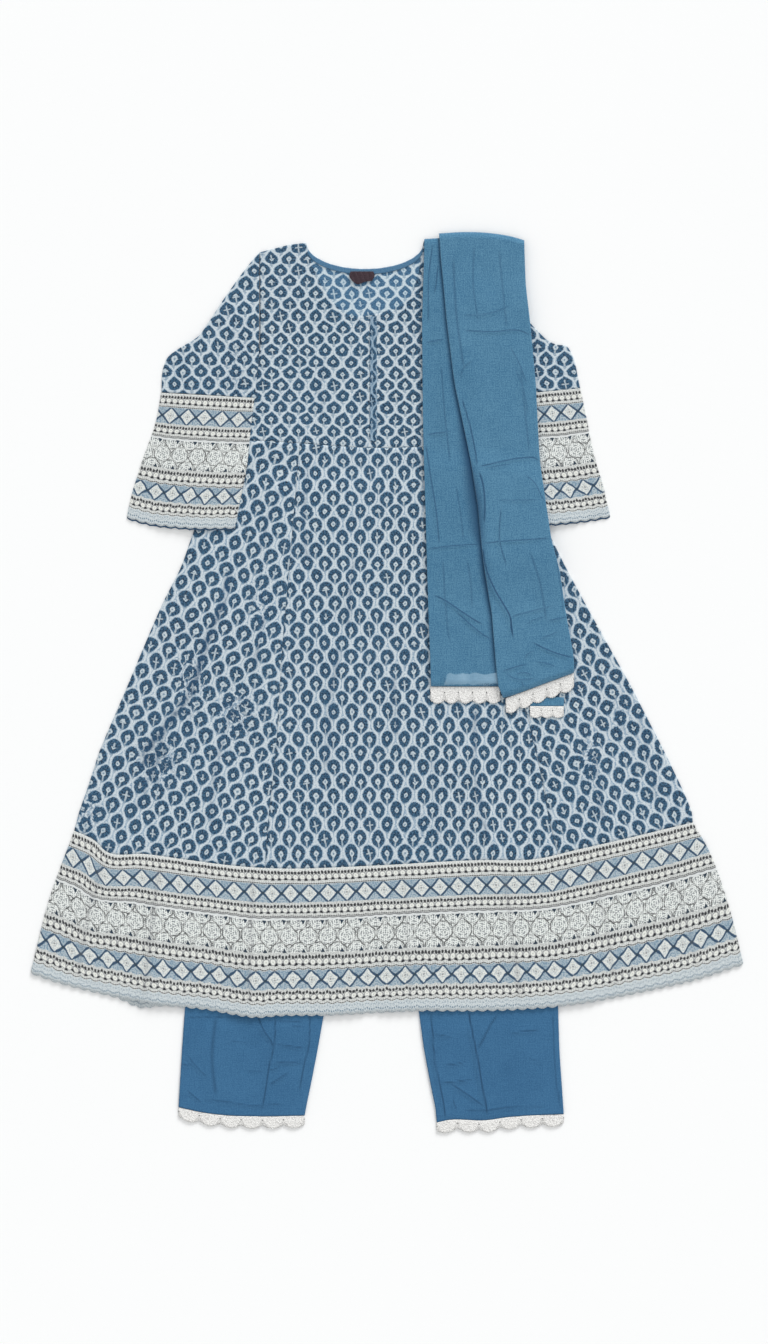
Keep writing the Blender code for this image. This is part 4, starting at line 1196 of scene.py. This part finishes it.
def sheer_end(cloth, base, grain, x, y):
    """The left stretch's end: a pale band, where the layer below shows through, and a dark edge under it."""
    across = cloth.noise(x, y, 14.0, 3.0) * 8.0
    band = (y + across).within(3.0, 19.5, 1.2) * (x + y * -0.3 + across * 0.5).within(88.0, 186.0, 1.5)
    base = cloth.mix(band * (cloth.noise(x, y, 22.0) * 0.5 + 0.3), base, colour(*SHEER_TONE))
    low = y.within(-3.2, 1.2, 1.0) * x.rise(130.0, 152.0) * grain.rise(0.4, 0.55)
    return cloth.mix(low * 0.7, base, colour(*SHEER_EDGE_TONE))


def lace_material(name):
    """Cotton lace: raised cords and dots, with small eyelets in painted shade. Lace coordinates count its
    waves.
    """
    cloth = Cloth(name, rough=0.9, sheen=0.1)
    x, y = cloth.millimetres("Weave")
    wave, down = cloth.coordinates("Lace")
    across = wave.middle_fraction()
    cells = cloth.tree.nodes.new("ShaderNodeTexVoronoi")
    cells.inputs["Scale"].default_value = 1.0 / 1.9
    cloth.tree.links.new(cloth.vector(x, y), cells.inputs["Vector"])
    knots = Value(cloth.tree, cells.outputs["Distance"])
    speck = cloth.noise(x, y, 1.7, 1.0)
    base = cloth.mix(speck.rise(0.46, 0.62) * 0.6, colour(246, 246, 243), colour(194, 192, 192))
    # Painted shade: greyer where the bump sinks between the raised knots
    base = cloth.mix(knots.rise(0.4, 0.8) * 0.35, base, colour(172, 170, 168))
    eyelet_x = across * 30.0
    eyelet_y = (down - 0.45) * 19.0
    eyelet = (abs(eyelet_x) * 0.9 + abs(eyelet_y)).fall(1.0, 1.9)
    netted = (abs(eyelet_x) - eyelet_y * 0.75).fall(-0.6, 0.6) * eyelet_y.rise(0.5, 1.5)
    mesh_x = ((x + y) / 2.6).middle_fraction()
    mesh_y = ((x - y) / 2.6).middle_fraction()
    mesh = mesh_x.length_with(mesh_y).fall(0.16, 0.34)
    # The eyelets and the holes of the net are not cut: they are painted dark grey, as painted shade in the
    # open holes
    holes = (eyelet * 0.9).maths("MAXIMUM", netted * (mesh * 0.45 + 0.06))
    base = cloth.mix(holes * 0.9, base, colour(84, 84, 86))
    bump = (knots * -1.0 + 1.0) * 1.4 + speck * 0.8 - holes * 2.0
    return cloth.finish(base, bump, 0.0005)


def floor_material():
    cloth = Cloth("floor_paper", rough=0.9, sheen=0.0)
    coordinates = cloth.tree.nodes.new("ShaderNodeTexCoord")
    split = cloth.tree.nodes.new("ShaderNodeSeparateXYZ")
    cloth.tree.links.new(coordinates.outputs["Object"], split.inputs[0])
    x, y = (Value(cloth.tree, split.outputs[index]) for index in range(2))
    base = cloth.mix(cloth.noise(x, y, 0.8), colour(248, 249, 249), colour(247, 248, 248))
    return cloth.finish(base, cloth.noise(x, y, 0.01), 0.00001)


def make_mesh(name, points, heights, uv_maps, closed=False, caps=False):
    """A grid of quads with its coordinates. A closed grid joins its last column to its first."""
    rows, columns = heights.shape
    xy = (points + MIDDLE_SHIFT) * METRES
    verts = np.concatenate([xy, heights[..., None] * METRES], axis=2).reshape(-1, 3)
    index = np.arange(rows * columns).reshape(rows, columns)
    if closed:
        index = np.concatenate([index, index[:, :1]], axis=1)
    quads = np.stack([index[:-1, :-1], index[1:, :-1], index[1:, 1:], index[:-1, 1:]], axis=2).reshape(-1, 4)
    faces = quads.tolist()
    if caps:
        faces.append(list(range(columns)))
        faces.append(list(range((rows - 1) * columns, rows * columns))[::-1])
    mesh = bpy.data.meshes.new(name)
    mesh.from_pydata(verts.tolist(), [], faces)
    corners = np.empty(len(mesh.loops), np.int32)
    mesh.loops.foreach_get("vertex_index", corners)
    for uv_name, values in uv_maps.items():
        layer = mesh.uv_layers.new(name=uv_name)
        layer.data.foreach_set("uv", values.reshape(-1, 2)[corners].astype(np.float32).ravel())
    mesh.shade_smooth()
    return mesh


def place(name, mesh, material, node, side=1, inside=None):
    """Puts a cloth surface in the scene in place of its solid; side says which way its wall grows."""
    piece = bpy.data.objects.new(name, mesh)
    bpy.context.scene.collection.objects.link(piece)
    mesh.materials.append(material)
    if inside is not None:
        mesh.materials.append(inside)
    if side:
        thick = piece.modifiers.new("Wall", "SOLIDIFY")
        thick.thickness = WALL * METRES
        thick.offset = side
        thick.material_offset = 1 if inside is not None else 0
    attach(piece, BODY)
    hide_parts(node)
    return piece


def flat_area(points):
    """The area in square metres that a grid of points covers."""
    a, b = points[1:, 1:] - points[:-1, :-1], points[1:, :-1] - points[:-1, 1:]
    return 0.5 * np.abs(a[..., 0] * b[..., 1] - a[..., 1] * b[..., 0]).sum() * METRES**2


def declare(points, layers=1):
    """Works out the size that a piece's outline has when flat, as a sheet cut to it; the result is not kept.
    """
    size = (points.reshape(-1, 2).max(0) - points.reshape(-1, 2).min(0)) * METRES
    flat = (float(size[0]) * layers, float(size[1]))
    area = min(flat_area(points) * layers, flat[0] * flat[1])
    if area < CURVED_STRIP * flat[0] * flat[1]:
        long_side = float(np.ptp(along_rows(points)[0])) * METRES
        flat = (long_side, max(area / long_side, NARROWEST_CUT))


def metres_map(points):
    return points * METRES


def print_map(points, turn, pitch, row_pitch, growth=0.0, offset=(0.0, 0.0)):
    """Repeat counts of the print on a panel whose grain is turned."""
    x, y = squeezed(points[..., 0], points[..., 1])
    cosine, sine = math.cos(turn), math.sin(turn)
    along = x * cosine + y * sine
    up = -x * sine + y * cosine
    up = up + 0.5 * growth * up * up
    return np.stack([along / pitch + offset[0], up / row_pitch + offset[1]], axis=-1)


def seam_dip(points, edges):
    """A shallow groove along the named edges of a panel, where it is sewn to its neighbour."""
    across = along_rows(points)
    down = down_columns(points)
    away = {
        "left": across - across[:, :1],
        "right": across[:, -1:] - across,
        "top": down,
        "bottom": down[-1:] - down,
    }
    dip = np.zeros(points.shape[:2])
    for edge in edges:
        dip = np.maximum(dip, SEAM_DEPTH * bell(away[edge], SEAM_WIDTH))
    return dip


def panel(name, sides, height, step, material, uv, seams=(), rows=None, scallops=None,
          inside=None):
    """A flat panel of cloth between four lines, one wall thick."""
    across = even(max(sides[2].length, sides[3].length), step)
    down = even(max(sides[0].length, sides[1].length), step) if rows is None else rows
    if scallops is not None:
        count, depth, reach, per_wave = scallops
        across = np.linspace(0.0, 1.0, count * per_wave + 1)
    points = patch(sides, across, down)
    if scallops is not None:
        points = past_end(points, depth * np.abs(np.sin(np.pi * across * count)), reach)
    heights = height(points[..., 0], points[..., 1]) - seam_dip(points, seams)
    maps = {"Weave": metres_map(points), **uv(points)}
    mesh = make_mesh(name, points, heights, maps)
    piece = place(name, mesh, material, name.removesuffix("_cloth"), 1, inside)
    declare(points)


def no_map(points):
    return {}


def leg_uv(points):
    return crease_shade_lines(LEG_CREASES, points)


def print_uv(turn=0.0, pitch=MOTIF_PITCH, row_pitch=SKIRT_ROW_PITCH, growth=0.0, offset=(0.0, 0.0)):
    """The repeats of the print, with the painted shade of its creases and how crushed it is."""

    def make(points):
        lines = crease_shade_lines(KURTA_CREASES, points, spread_share=0.55)
        lines["Crease"][..., 1] = crushed_share(points)
        return {"Print": print_map(points, turn, pitch, row_pitch, growth, offset), **lines}

    return make


def border_uv(scale=1.0):
    """Along the band from its middle, and down from its top edge, scaled to the band's height."""

    def make(points):
        along = along_rows(points) * scale
        down = down_columns(points)
        down = down / down[-1:] * BORDER_HEIGHT
        lines = crease_shade_lines(BORDER_CREASES, points, spread_share=0.45)
        return {"Border": np.stack([along, down], axis=-1) * METRES, **lines}

    return make


def lace_uv(waves):
    """Counts the waves along the lace, and goes from 0 to 1 down it."""

    def make(points):
        rows, columns = points.shape[:2]
        across = np.broadcast_to(np.linspace(0, waves, columns)[None], (rows, columns))
        down = np.broadcast_to(np.linspace(0, 1, rows)[:, None], (rows, columns))
        return {"Lace": np.stack([across, down], axis=-1)}

    return make


def lace(name, top, depth, wave, waves, base, material, rests_on):
    """A strip of lace below an edge, its lower side in waves with small picots."""
    upper, lower = top.moved(y=-GAP), top.moved(y=-GAP - depth)
    sides = straight(upper(0.0), lower(0.0)), straight(upper(1.0), lower(1.0)), upper, lower
    across = np.linspace(0.0, 1.0, waves * LACE_WAVE_POINTS + 1)
    points = patch(sides, across, even(depth, LACE_STEP))
    reach = (wave - PICOT_DEPTH) * np.abs(np.sin(np.pi * across * waves))
    reach += PICOT_DEPTH * np.abs(np.sin(np.pi * across * waves * PICOTS))
    points = past_end(points, reach, depth)
    x, y = points[..., 0], points[..., 1]
    heights = base(x, y) + LACE_RELIEF * (1 + np.sin(x / 2.9) * np.sin(y / 2.3))
    maps = {"Weave": metres_map(points), **lace_uv(waves)(points)}
    mesh = make_mesh(name + "_cloth", points, heights, maps)
    piece = place(name + "_cloth", mesh, material, name, 1)
    declare(points)


def read_rows(grid, shares):
    """Reads each row of a grid of points at its own shares of the row."""
    columns = np.linspace(0, 1, grid.shape[1])
    points = np.empty((*shares.shape, 2))
    for row, axis in np.ndindex(len(grid), 2):
        points[row, :, axis] = np.interp(shares[row], columns, grid[row, :, axis])
    return points


def tube_ring(across):
    """A flat tube's section: share across, inset in mm, and level from 0 at the bottom to 1 at the top."""
    bend = np.linspace(-90, 90, TUBE_SIDE_POINTS + 2)[1:-1] * math.pi / 180
    left = [(0.0, TUBE_INSET * (1 - math.cos(turn)), 0.5 + 0.5 * math.sin(turn)) for turn in bend]
    top = [(share, TUBE_INSET, 1.0) for share in across]
    right = [(1.0, inset, level) for _, inset, level in left[::-1]]
    bottom = [(share, TUBE_INSET, 0.0) for share in across[::-3]]
    if bottom[-1][0] > 0:
        bottom.append((0.0, TUBE_INSET, 0.0))
    return np.array(left + top + right + bottom)


def tube(name, sides, base, step, material, inside, uv, creases=(), scallops=None):
    """A sleeve or cuff lying flat: two layers joined at both rounded edges, open at both ends."""
    left, right, top, bottom = sides
    across = even(max(top.length, bottom.length), step)
    if scallops is not None:
        across = np.linspace(0.0, 1.0, scallops * CUFF_SCALLOP_POINTS + 1)
    down = even(max(left.length, right.length), step)
    ring = tube_ring(across)
    edge, inset, level = ring.T[:, None]
    grid = patch(sides, np.linspace(0, 1, SECTION_COLUMNS), down)
    width = np.linalg.norm(grid[:, -1] - grid[:, 0], axis=1)[:, None]
    share = inset / width + edge * (1 - 2 * inset / width)
    share = np.where(edge == 1.0, 1 - inset / width, share)
    share = np.where(edge == 0.0, inset / width, share)
    points = read_rows(grid, share)
    if scallops is not None:
        wave = CUFF_SCALLOP_DEPTH * np.abs(np.sin(np.pi * share[-1] * scallops))
        points = past_end(points, wave + CUFF_BACK_LONGER * (1 - level[0]), CUFF_SCALLOP_REACH)
    x, y = points[..., 0], points[..., 1]
    puff = crease_height(creases, x, y) + TUBE_PUFF + ripple(x, y)
    inner = np.clip(np.minimum(share, 1 - share) * width / TUBE_FLAT_EDGE, 0, 1)
    heights = base(x, y) + level * (TUBE_HEIGHT + puff * inner)
    maps = {"Weave": metres_map(points), **uv(points)}
    mesh = make_mesh(name + "_cloth", points, heights, maps, closed=True)
    piece = place(name + "_cloth", mesh, material, name, -1, inside)
    declare(patch(sides, across, down), layers=2)


def stack_ring(across):
    """A stack's section: share across, layer or -1 off the sides, bulge, and level from 0 to 1."""
    side = []
    for layer in range(STACK_LAYERS):
        for turn in np.linspace(-90, 90, STACK_SIDE_POINTS + 1)[:-1] * math.pi / 180:
            side.append((layer, math.cos(turn), (layer + 0.5 + 0.5 * math.sin(turn)) / STACK_LAYERS))
    side = side[1:]
    ring = [(0.0, *point) for point in side]
    ring += [(share, -1, 0.0, 1.0) for share in across]
    ring += [(1.0, *point) for point in side[::-1]]
    ring += [(share, -1, 0.0, 0.0) for share in np.linspace(1, 0, STACK_UNDER_POINTS)]
    return np.array(ring)


def stack(name, sides, height, creases, material, overhang=0.0, shade=None):
    """Folded cloth as one closed form: a creased top, layered rounded edges and thin ends.

    Its top layer may hang over at the left, where it lies on its neighbour.
    """
    left, right, top, bottom = sides
    across = even(max(top.length, bottom.length), CREASED)
    length = max(left.length, right.length)
    down = even(length, CREASED)
    ring = stack_ring(across)
    edge, layer, bulge, level = ring.T[:, None]
    grid = patch(sides, np.linspace(0, 1, SECTION_COLUMNS), down)
    width = np.linalg.norm(grid[:, -1] - grid[:, 0], axis=1)[:, None]
    run = (down * length)[:, None]
    uneven = 0.55 * np.sin(run / 37 + 2.1 * layer) + 0.35 * np.sin(run / 15 + 4.0 * layer)
    on_side = layer >= 0
    upper_layer = layer == STACK_LAYERS - 1
    drawn_in = STACK_LAYER_SHIFT * (uneven + 0.9) * ~upper_layer
    inset = STACK_EDGE_INSET - height / (2 * STACK_LAYERS) * bulge + drawn_in
    inset = np.maximum(np.where(on_side, inset, STACK_EDGE_INSET), 0.0)
    share = inset / width + edge * (1 - 2 * inset / width)
    points = read_rows(grid, share)
    drawn_over = np.where(upper_layer & (edge < 0.5), 1.0, 0.0)
    on_top = ~on_side & (level > 0.5)
    drawn_over = np.where(on_top, np.clip(1 - share * width / OVERHANG_FADE, 0, 1), drawn_over)
    points[..., 0] -= overhang * drawn_over
    x, y = points[..., 0], points[..., 1]
    from_end = np.minimum(run, length - run)
    rounded = np.sqrt(np.clip(from_end / STACK_END, 0, 1))
    thick = height * (STACK_END_HEIGHT + (1 - STACK_END_HEIGHT) * rounded)
    inner = np.clip(np.minimum(share, 1 - share) * width / STACK_FLAT_EDGE, 0, 1)
    soft = STACK_SOFTNESS * np.sin(x / 9 + y / 55) * np.sin(y / 31 - x / 40)
    lumps = (crease_height(creases, x, y) + soft) * inner * np.clip(from_end / STACK_END_FLAT, 0, 1)
    heights = dupatta_base(x, y) + level * (thick + lumps)
    dark = shade(points) if shade else 0.0
    maps = {"Weave": metres_map(points), **crease_shade_lines(creases, points, dark)}
    mesh = make_mesh(name + "_cloth", points, heights, maps, closed=True, caps=True)
    piece = place(name + "_cloth", mesh, material, name, 0)
    declare(patch(sides, across, down))


def build_trousers(looks):
    plain = looks["trousers"]
    band_low = WAIST_TOP - WAISTBAND_HEIGHT
    top_y = band_low - GAP
    size = LEG_LACE_DEPTH, LEG_LACE_WAVE, LEG_LACE_WAVES
    for side, names, hem, shift in (
        ("left", ("left_outer", "left_inner"), LEG_HEM_LEFT, -SEAM_GAP),
        ("right", ("right_inner", "right_outer"), LEG_HEM_RIGHT, SEAM_GAP),
    ):
        left = column_line(LEG_ROWS, names[0], top_y, hem[0][1]).moved(x=shift)
        right = column_line(LEG_ROWS, names[1], top_y, hem[-1][1]).moved(x=shift)
        hem_line = Line(hem).moved(x=shift)
        sides = left, right, straight(left(0.0), right(0.0)), hem_line
        shows = (top_y - LEG_SHOWS_BELOW) / left.length
        upper_rows = np.linspace(0, shows, LEG_ROWS_HIDDEN)[:-1]
        fine_rows = np.concatenate([upper_rows, np.linspace(shows, 1, LEG_ROWS_SHOWN)])
        back, front = f"trouser_back_{side}_cloth", f"trouser_front_{side}_cloth"
        panel(back, sides, on_floor, HIDDEN, plain, no_map)
        panel(front, sides, leg_front, LEG_STEP, plain, leg_uv, rows=fine_rows)
        for layer, base in (("back", on_floor), ("front", on_back_leg)):
            lace(f"trouser_lace_{layer}_{side}", hem_line, *size, base, looks["lace"], ["floor"])
    left = column_line(LEG_ROWS, "left_outer", WAIST_TOP, band_low)
    right = column_line(LEG_ROWS, "right_outer", WAIST_TOP, band_low)
    sides = left, right, straight(left(0.0), right(0.0)), straight(left(1.0), right(1.0))
    tube("trouser_waistband", sides, on_floor, HIDDEN, plain, plain, no_map)


def back_neck_line(half_span=NECK_HALF_WIDTH):
    """The back neckline, a shallow half ellipse between the neck points, or its middle stretch."""
    across = np.linspace(-half_span, half_span, NECK_POINTS)
    rise = np.sqrt(np.maximum(1 - (across / NECK_HALF_WIDTH) ** 2, 0.0))
    y = SHOULDER[-1][1] - BACK_NECK_DROP * rise
    return Line(np.column_stack([NECK_MIDDLE + across, y]), smooth=False)


def bodice_sides(neck):
    points = np.vstack([SHOULDER[:-1], neck.points, RIGHT_SHOULDER])
    side = Line(ARMHOLE_AND_SIDE, smooth=False)
    return side, mirrored(side), Line(points, smooth=False), Line(WAIST_SEAM).moved(y=SEAM_GAP)


def build_bodice(looks):
    uv = print_uv(row_pitch=BODICE_ROW_PITCH)
    sides = bodice_sides(back_neck_line())
    panel("back_bodice_cloth", sides, kurta_back, BACK_BODICE_STEP, looks["print_inside"],
          uv)
    sides = bodice_sides(Line(FRONT_NECK))
    panel("front_bodice_cloth", sides, kurta_front, FRONT_BODICE_STEP, looks["print"],
          uv, seams=("left", "right", "bottom"))
    low, high = PLACKET_Y
    left = straight((PLACKET_X - PLACKET_WIDTH / 2, high), (PLACKET_X - PLACKET_WIDTH / 2, low))
    right = left.moved(x=PLACKET_WIDTH)
    top = straight(left(0.0), right(0.0))
    sides = left, right, top, top.moved(y=low - high)
    uv = print_uv(pitch=PLACKET_PITCH, row_pitch=BODICE_ROW_PITCH, offset=(0.0, 0.2))
    panel("front_placket_cloth", sides, placket_height, CREASED, looks["print_placket"],
          uv)


def placket_height(x, y):
    """On the bodice, pressed down along both stitched edges and along the slit in its middle."""
    from_middle = np.abs(x - PLACKET_X)
    depth, width = PLACKET_STITCHES
    pressed = depth * bell(from_middle - PLACKET_WIDTH / 2, width)
    depth, width = PLACKET_SLIT
    slit = depth * bell(from_middle, width)
    return kurta_front(x, y) + WALL + PLACKET_RISE - pressed - slit


def facing_height(x, y):
    return over_trousers(x, y) + LAYER - FACING_SINK


def label_height(x, y):
    return 2 * LAYER - LABEL_SINK + PUCKER * (1 + np.sin(x * 0.8 + y * 0.3))


def build_neck(looks):
    upper = back_neck_line(FACING_HALF_SPAN).moved(y=-GAP)
    lower = upper.moved(y=-FACING_WIDTH)
    sides = straight(upper(0.0), lower(0.0)), straight(upper(1.0), lower(1.0)), upper, lower
    panel("neck_facing_cloth", sides, facing_height, CREASED, looks["facing"],
          no_map)
    wide, tall = LABEL_SIZE
    x, y = LABEL_CENTRE
    half = wide / 2
    high_y, low_y = y + tall / 2, y - tall / 2
    left = Line([(x - half + 2.0, high_y), (x - half, y + 1.0), (x - half + 4.0, low_y)])
    right = Line([(x + half - 2.0, high_y), (x + half, y + 1.0), (x + half - 4.0, low_y)])
    low = Line([left(1.0), (x - half * 0.4, low_y - 5.0), (x + half * 0.25, low_y - 1.5), right(1.0)])
    sides = left, right, straight(left(0.0), right(0.0)), low
    panel("neck_label_cloth", sides, label_height, LABEL_STEP, looks["label"],
          no_map)


def skirt_side(name, waist, border, shift):
    """A side edge or seam of the skirt, from the waist seam to where it meets the border."""
    start = np.interp(SKIRT_ROWS[name][0], *waist.points.T)
    end = 0.0
    for _ in range(MEETING_ROUNDS):
        end = np.interp(read_column(SKIRT_ROWS, name, end), *border.points.T)
    return column_line(SKIRT_ROWS, name, start, end).moved(x=shift)


def build_skirt(looks):
    waist = Line(WAIST_SEAM).moved(y=-SEAM_GAP)
    border = Line(BORDER_TOP).moved(y=SEAM_GAP)
    for part_name, left_name, right_name, turn in SKIRT_PANELS:
        left = skirt_side(left_name, waist, border, SEAM_GAP)
        right = skirt_side(right_name, waist, border, -SEAM_GAP)
        upper = waist.between(left(0.0)[0], right(0.0)[0])
        lower = border.between(left(1.0)[0], right(1.0)[0])
        sides = left, right, upper, lower
        pitch = SIDE_MOTIF_PITCH if turn else MOTIF_PITCH
        growth = 0.0 if turn else SKIRT_ROW_GROWTH
        uv = print_uv(turn, pitch, SKIRT_ROW_PITCH, growth)
        back, front = f"back_skirt_{part_name}_cloth", f"front_skirt_{part_name}_cloth"
        panel(back, sides, kurta_back, HIDDEN, looks["print"], uv)
        panel(front, sides, kurta_front, FINE, looks["print"], uv,
              seams=("left", "right", "top", "bottom"))


def build_borders(looks):
    top = Line(BORDER_TOP).moved(y=-SEAM_GAP)
    hem = Line(HEM)
    left = Line([top(0.0), BORDER_LEFT_BULGE, hem(0.0)])
    right = Line([top(1.0), *BORDER_RIGHT_BULGE, hem(1.0)])
    sides = left, right, top, hem
    points = hem(np.linspace(0, 1, HEM_ROW_POINTS))
    peek = bell(points[:, 0] - BACK_HEM_PEEK["x"], BACK_HEM_PEEK["half_width"])
    back_hem = Line(points - np.column_stack([0 * peek, BACK_HEM_PEEK["drop"] * peek]), smooth=False)
    scallops = HEM_SCALLOPS, HEM_SCALLOP_DEPTH, HEM_SCALLOP_REACH
    back_sides = left, right, top, back_hem
    panel("back_hem_border_cloth", back_sides, kurta_back, HIDDEN, looks["border"],
          border_uv(), scallops=(*scallops, BACK_SCALLOP_POINTS), inside=looks["inside"])
    panel("front_hem_border_cloth", sides, kurta_front, BORDER_STEP, looks["border"],
          border_uv(), scallops=(*scallops, FRONT_SCALLOP_POINTS), seams=("top",))


def build_sleeves(looks):
    """Both sleeves and cuffs. The right armhole, underarm and inner edge mirror the left ones."""
    uv = print_uv(row_pitch=SLEEVE_ROW_PITCH)
    armhole = Line(LEFT_ARMHOLE, smooth=False)
    underarm = Line(LEFT_UNDERARM, smooth=False)
    cuff_inner = Line(LEFT_CUFF_INNER)
    for side, sleeve_outer, cuff_outer, cuff_hem in (
        ("left", Line(LEFT_SLEEVE_OUTER), Line(LEFT_CUFF_OUTER), Line(LEFT_CUFF_HEM)),
        ("right", Line(RIGHT_SLEEVE_OUTER), Line(RIGHT_CUFF_OUTER), Line(RIGHT_CUFF_HEM)),
    ):
        edges, cuff_edges = (sleeve_outer, underarm), (cuff_outer, cuff_inner)
        if side == "right":
            armhole = Line(mirrored(armhole).points[::-1], smooth=False)
            edges = mirrored(underarm), sleeve_outer
            cuff_edges = mirrored(cuff_inner), cuff_outer
        sides = (*edges, armhole, straight(edges[0](1.0), edges[1](1.0)))
        tube(f"sleeve_{side}", sides, sleeve_base, SLEEVE_STEP, looks["print"], looks["inside"],
             uv, SLEEVE_CREASES)
        sides = (*cuff_edges, straight(cuff_edges[0](0.0), cuff_edges[1](0.0)), cuff_hem)
        tube(f"cuff_{side}", sides, sleeve_base, CUFF_STEP, looks["border"], looks["inside"],
             border_uv(CUFF_BORDER_SCALE), SLEEVE_CREASES, scallops=CUFF_SCALLOPS)


def build_dupatta(looks):
    under = ["front_bodice_cloth", "front_skirt_centre_cloth", "front_skirt_right_cloth"]
    top, end = Line(LEFT_STRETCH_TOP, smooth=False), Line(LEFT_STRETCH_END, smooth=False)
    left = column_line(DUPATTA_ROWS, "left", top(0.0)[1], end(0.0)[1])
    right = column_line(DUPATTA_ROWS, "fold", top(1.0)[1], end(1.0)[1]).moved(x=-SEAM_GAP)
    stack("dupatta_left_stretch", (left, right, top, end), LEFT_STRETCH_HEIGHT, LEFT_STRETCH_CREASES,
          looks["dupatta_left"], shade=fold_hollow)
    size = DUPATTA_LACE_DEPTH, DUPATTA_LACE_WAVE, DUPATTA_LACE_WAVES
    lace("dupatta_lace_left", end, *size, dupatta_base, looks["lace"], under)

    top, end = Line(RIGHT_STRETCH_TOP), Line(RIGHT_STRETCH_END)
    left = column_line(DUPATTA_ROWS, "fold", top(0.0)[1], end(0.0)[1]).moved(x=SEAM_GAP)
    right = column_line(DUPATTA_ROWS, "right", top(1.0)[1], end(1.0)[1])
    stack("dupatta_right_stretch", (left, right, top, end), RIGHT_STRETCH_HEIGHT, RIGHT_STRETCH_CREASES,
          looks["dupatta"], overhang=OVERHANG, shade=fold_shoulder)
    lace("dupatta_lace_right", end, *size, over_left_stretch, looks["lace"], under)

    under_left, under_right = UNDER_END["x"]
    under_top, under_low = UNDER_END["y"]
    left = straight((under_left, under_top), (under_left, under_low))
    top = straight((under_left, under_top), (under_right, under_top))
    low = top.moved(y=under_low - under_top)
    sides = left, left.moved(x=under_right - under_left), top, low
    panel("dupatta_under_end_cloth", sides, dupatta_base, CREASED, looks["dupatta"],
          no_map)
    size = UNDER_LACE_DEPTH, UNDER_LACE_WAVE, UNDER_LACE_WAVES
    lace("dupatta_lace_under", low, *size, dupatta_base, looks["lace"], under)


def make_looks():
    dull, satin = {"streaks": 0.2}, {"streaks": 0.2, "rough": 0.5}
    return {
        "print": print_material("block_print"),
        "print_inside": print_material("block_print_inside"),
        "print_placket": print_material("block_print_placket"),
        "border": border_material("banded_border"),
        "dupatta": plain_material("dupatta_cotton", (56, 108, 142), (88, 138, 168)),
        "dupatta_left": plain_material("dupatta_cotton_left", (54, 106, 140), (86, 136, 166), sheer=True),
        "trousers": plain_material("trouser_cotton", (40, 90, 130), (62, 114, 154), **dull),
        "facing": plain_material("facing_cotton", (62, 104, 140), (88, 130, 160), **dull),
        "inside": plain_material("print_reverse", (36, 68, 100), (66, 100, 132)),
        "label": plain_material("label_satin", (34, 22, 30), (66, 46, 56), **satin),
        "lace": lace_material("cotton_lace"),
    }


def build_floor():
    mesh = bpy.data.meshes.new("floor")
    half = FLOOR_SIZE / 2
    corners = [(-half, -half), (half, -half), (half, half), (-half, half)]
    mesh.from_pydata([(x, y, -FLOOR_DROP) for x, y in corners], [], [(0, 1, 2, 3)])
    mesh.materials.append(floor_material())
    floor = bpy.data.objects.new("floor", mesh)
    bpy.context.scene.collection.objects.link(floor)


def build_light():
    scene = bpy.context.scene
    world = bpy.data.worlds.new("soft_sky")
    world.use_nodes = True
    background = world.node_tree.nodes["Background"]
    background.inputs["Color"].default_value = (1.0, 1.0, 1.0, 1.0)
    background.inputs["Strength"].default_value = SKY_STRENGTH
    scene.world = world
    sun_data = bpy.data.lights.new("window", "SUN")
    sun_data.energy = SUN_STRENGTH
    sun_data.angle = SUN_SPREAD
    sun = bpy.data.objects.new("window", sun_data)
    sun.rotation_euler = Vector(SUN_FROM).to_track_quat("Z", "Y").to_euler()
    scene.collection.objects.link(sun)
    scene.view_settings.view_transform = "Standard"


def build_camera():
    data = bpy.data.cameras.new("overhead")
    data.sensor_fit = "AUTO"
    data.sensor_width = SENSOR
    data.lens = SENSOR * CAMERA_DISTANCE / (VIEW_HEIGHT * METRES)
    camera = bpy.data.objects.new("overhead", data)
    camera.location = (VIEW_CENTRE[0] * METRES, VIEW_CENTRE[1] * METRES, CAMERA_DISTANCE)
    bpy.context.scene.collection.objects.link(camera)
    bpy.context.scene.camera = camera


def main():
    build_camera()
    build_light()
    build_floor()
    looks = make_looks()
    build_trousers(looks)
    build_bodice(looks)
    build_neck(looks)
    build_skirt(looks)
    build_borders(looks)
    build_sleeves(looks)
    build_dupatta(looks)


main()
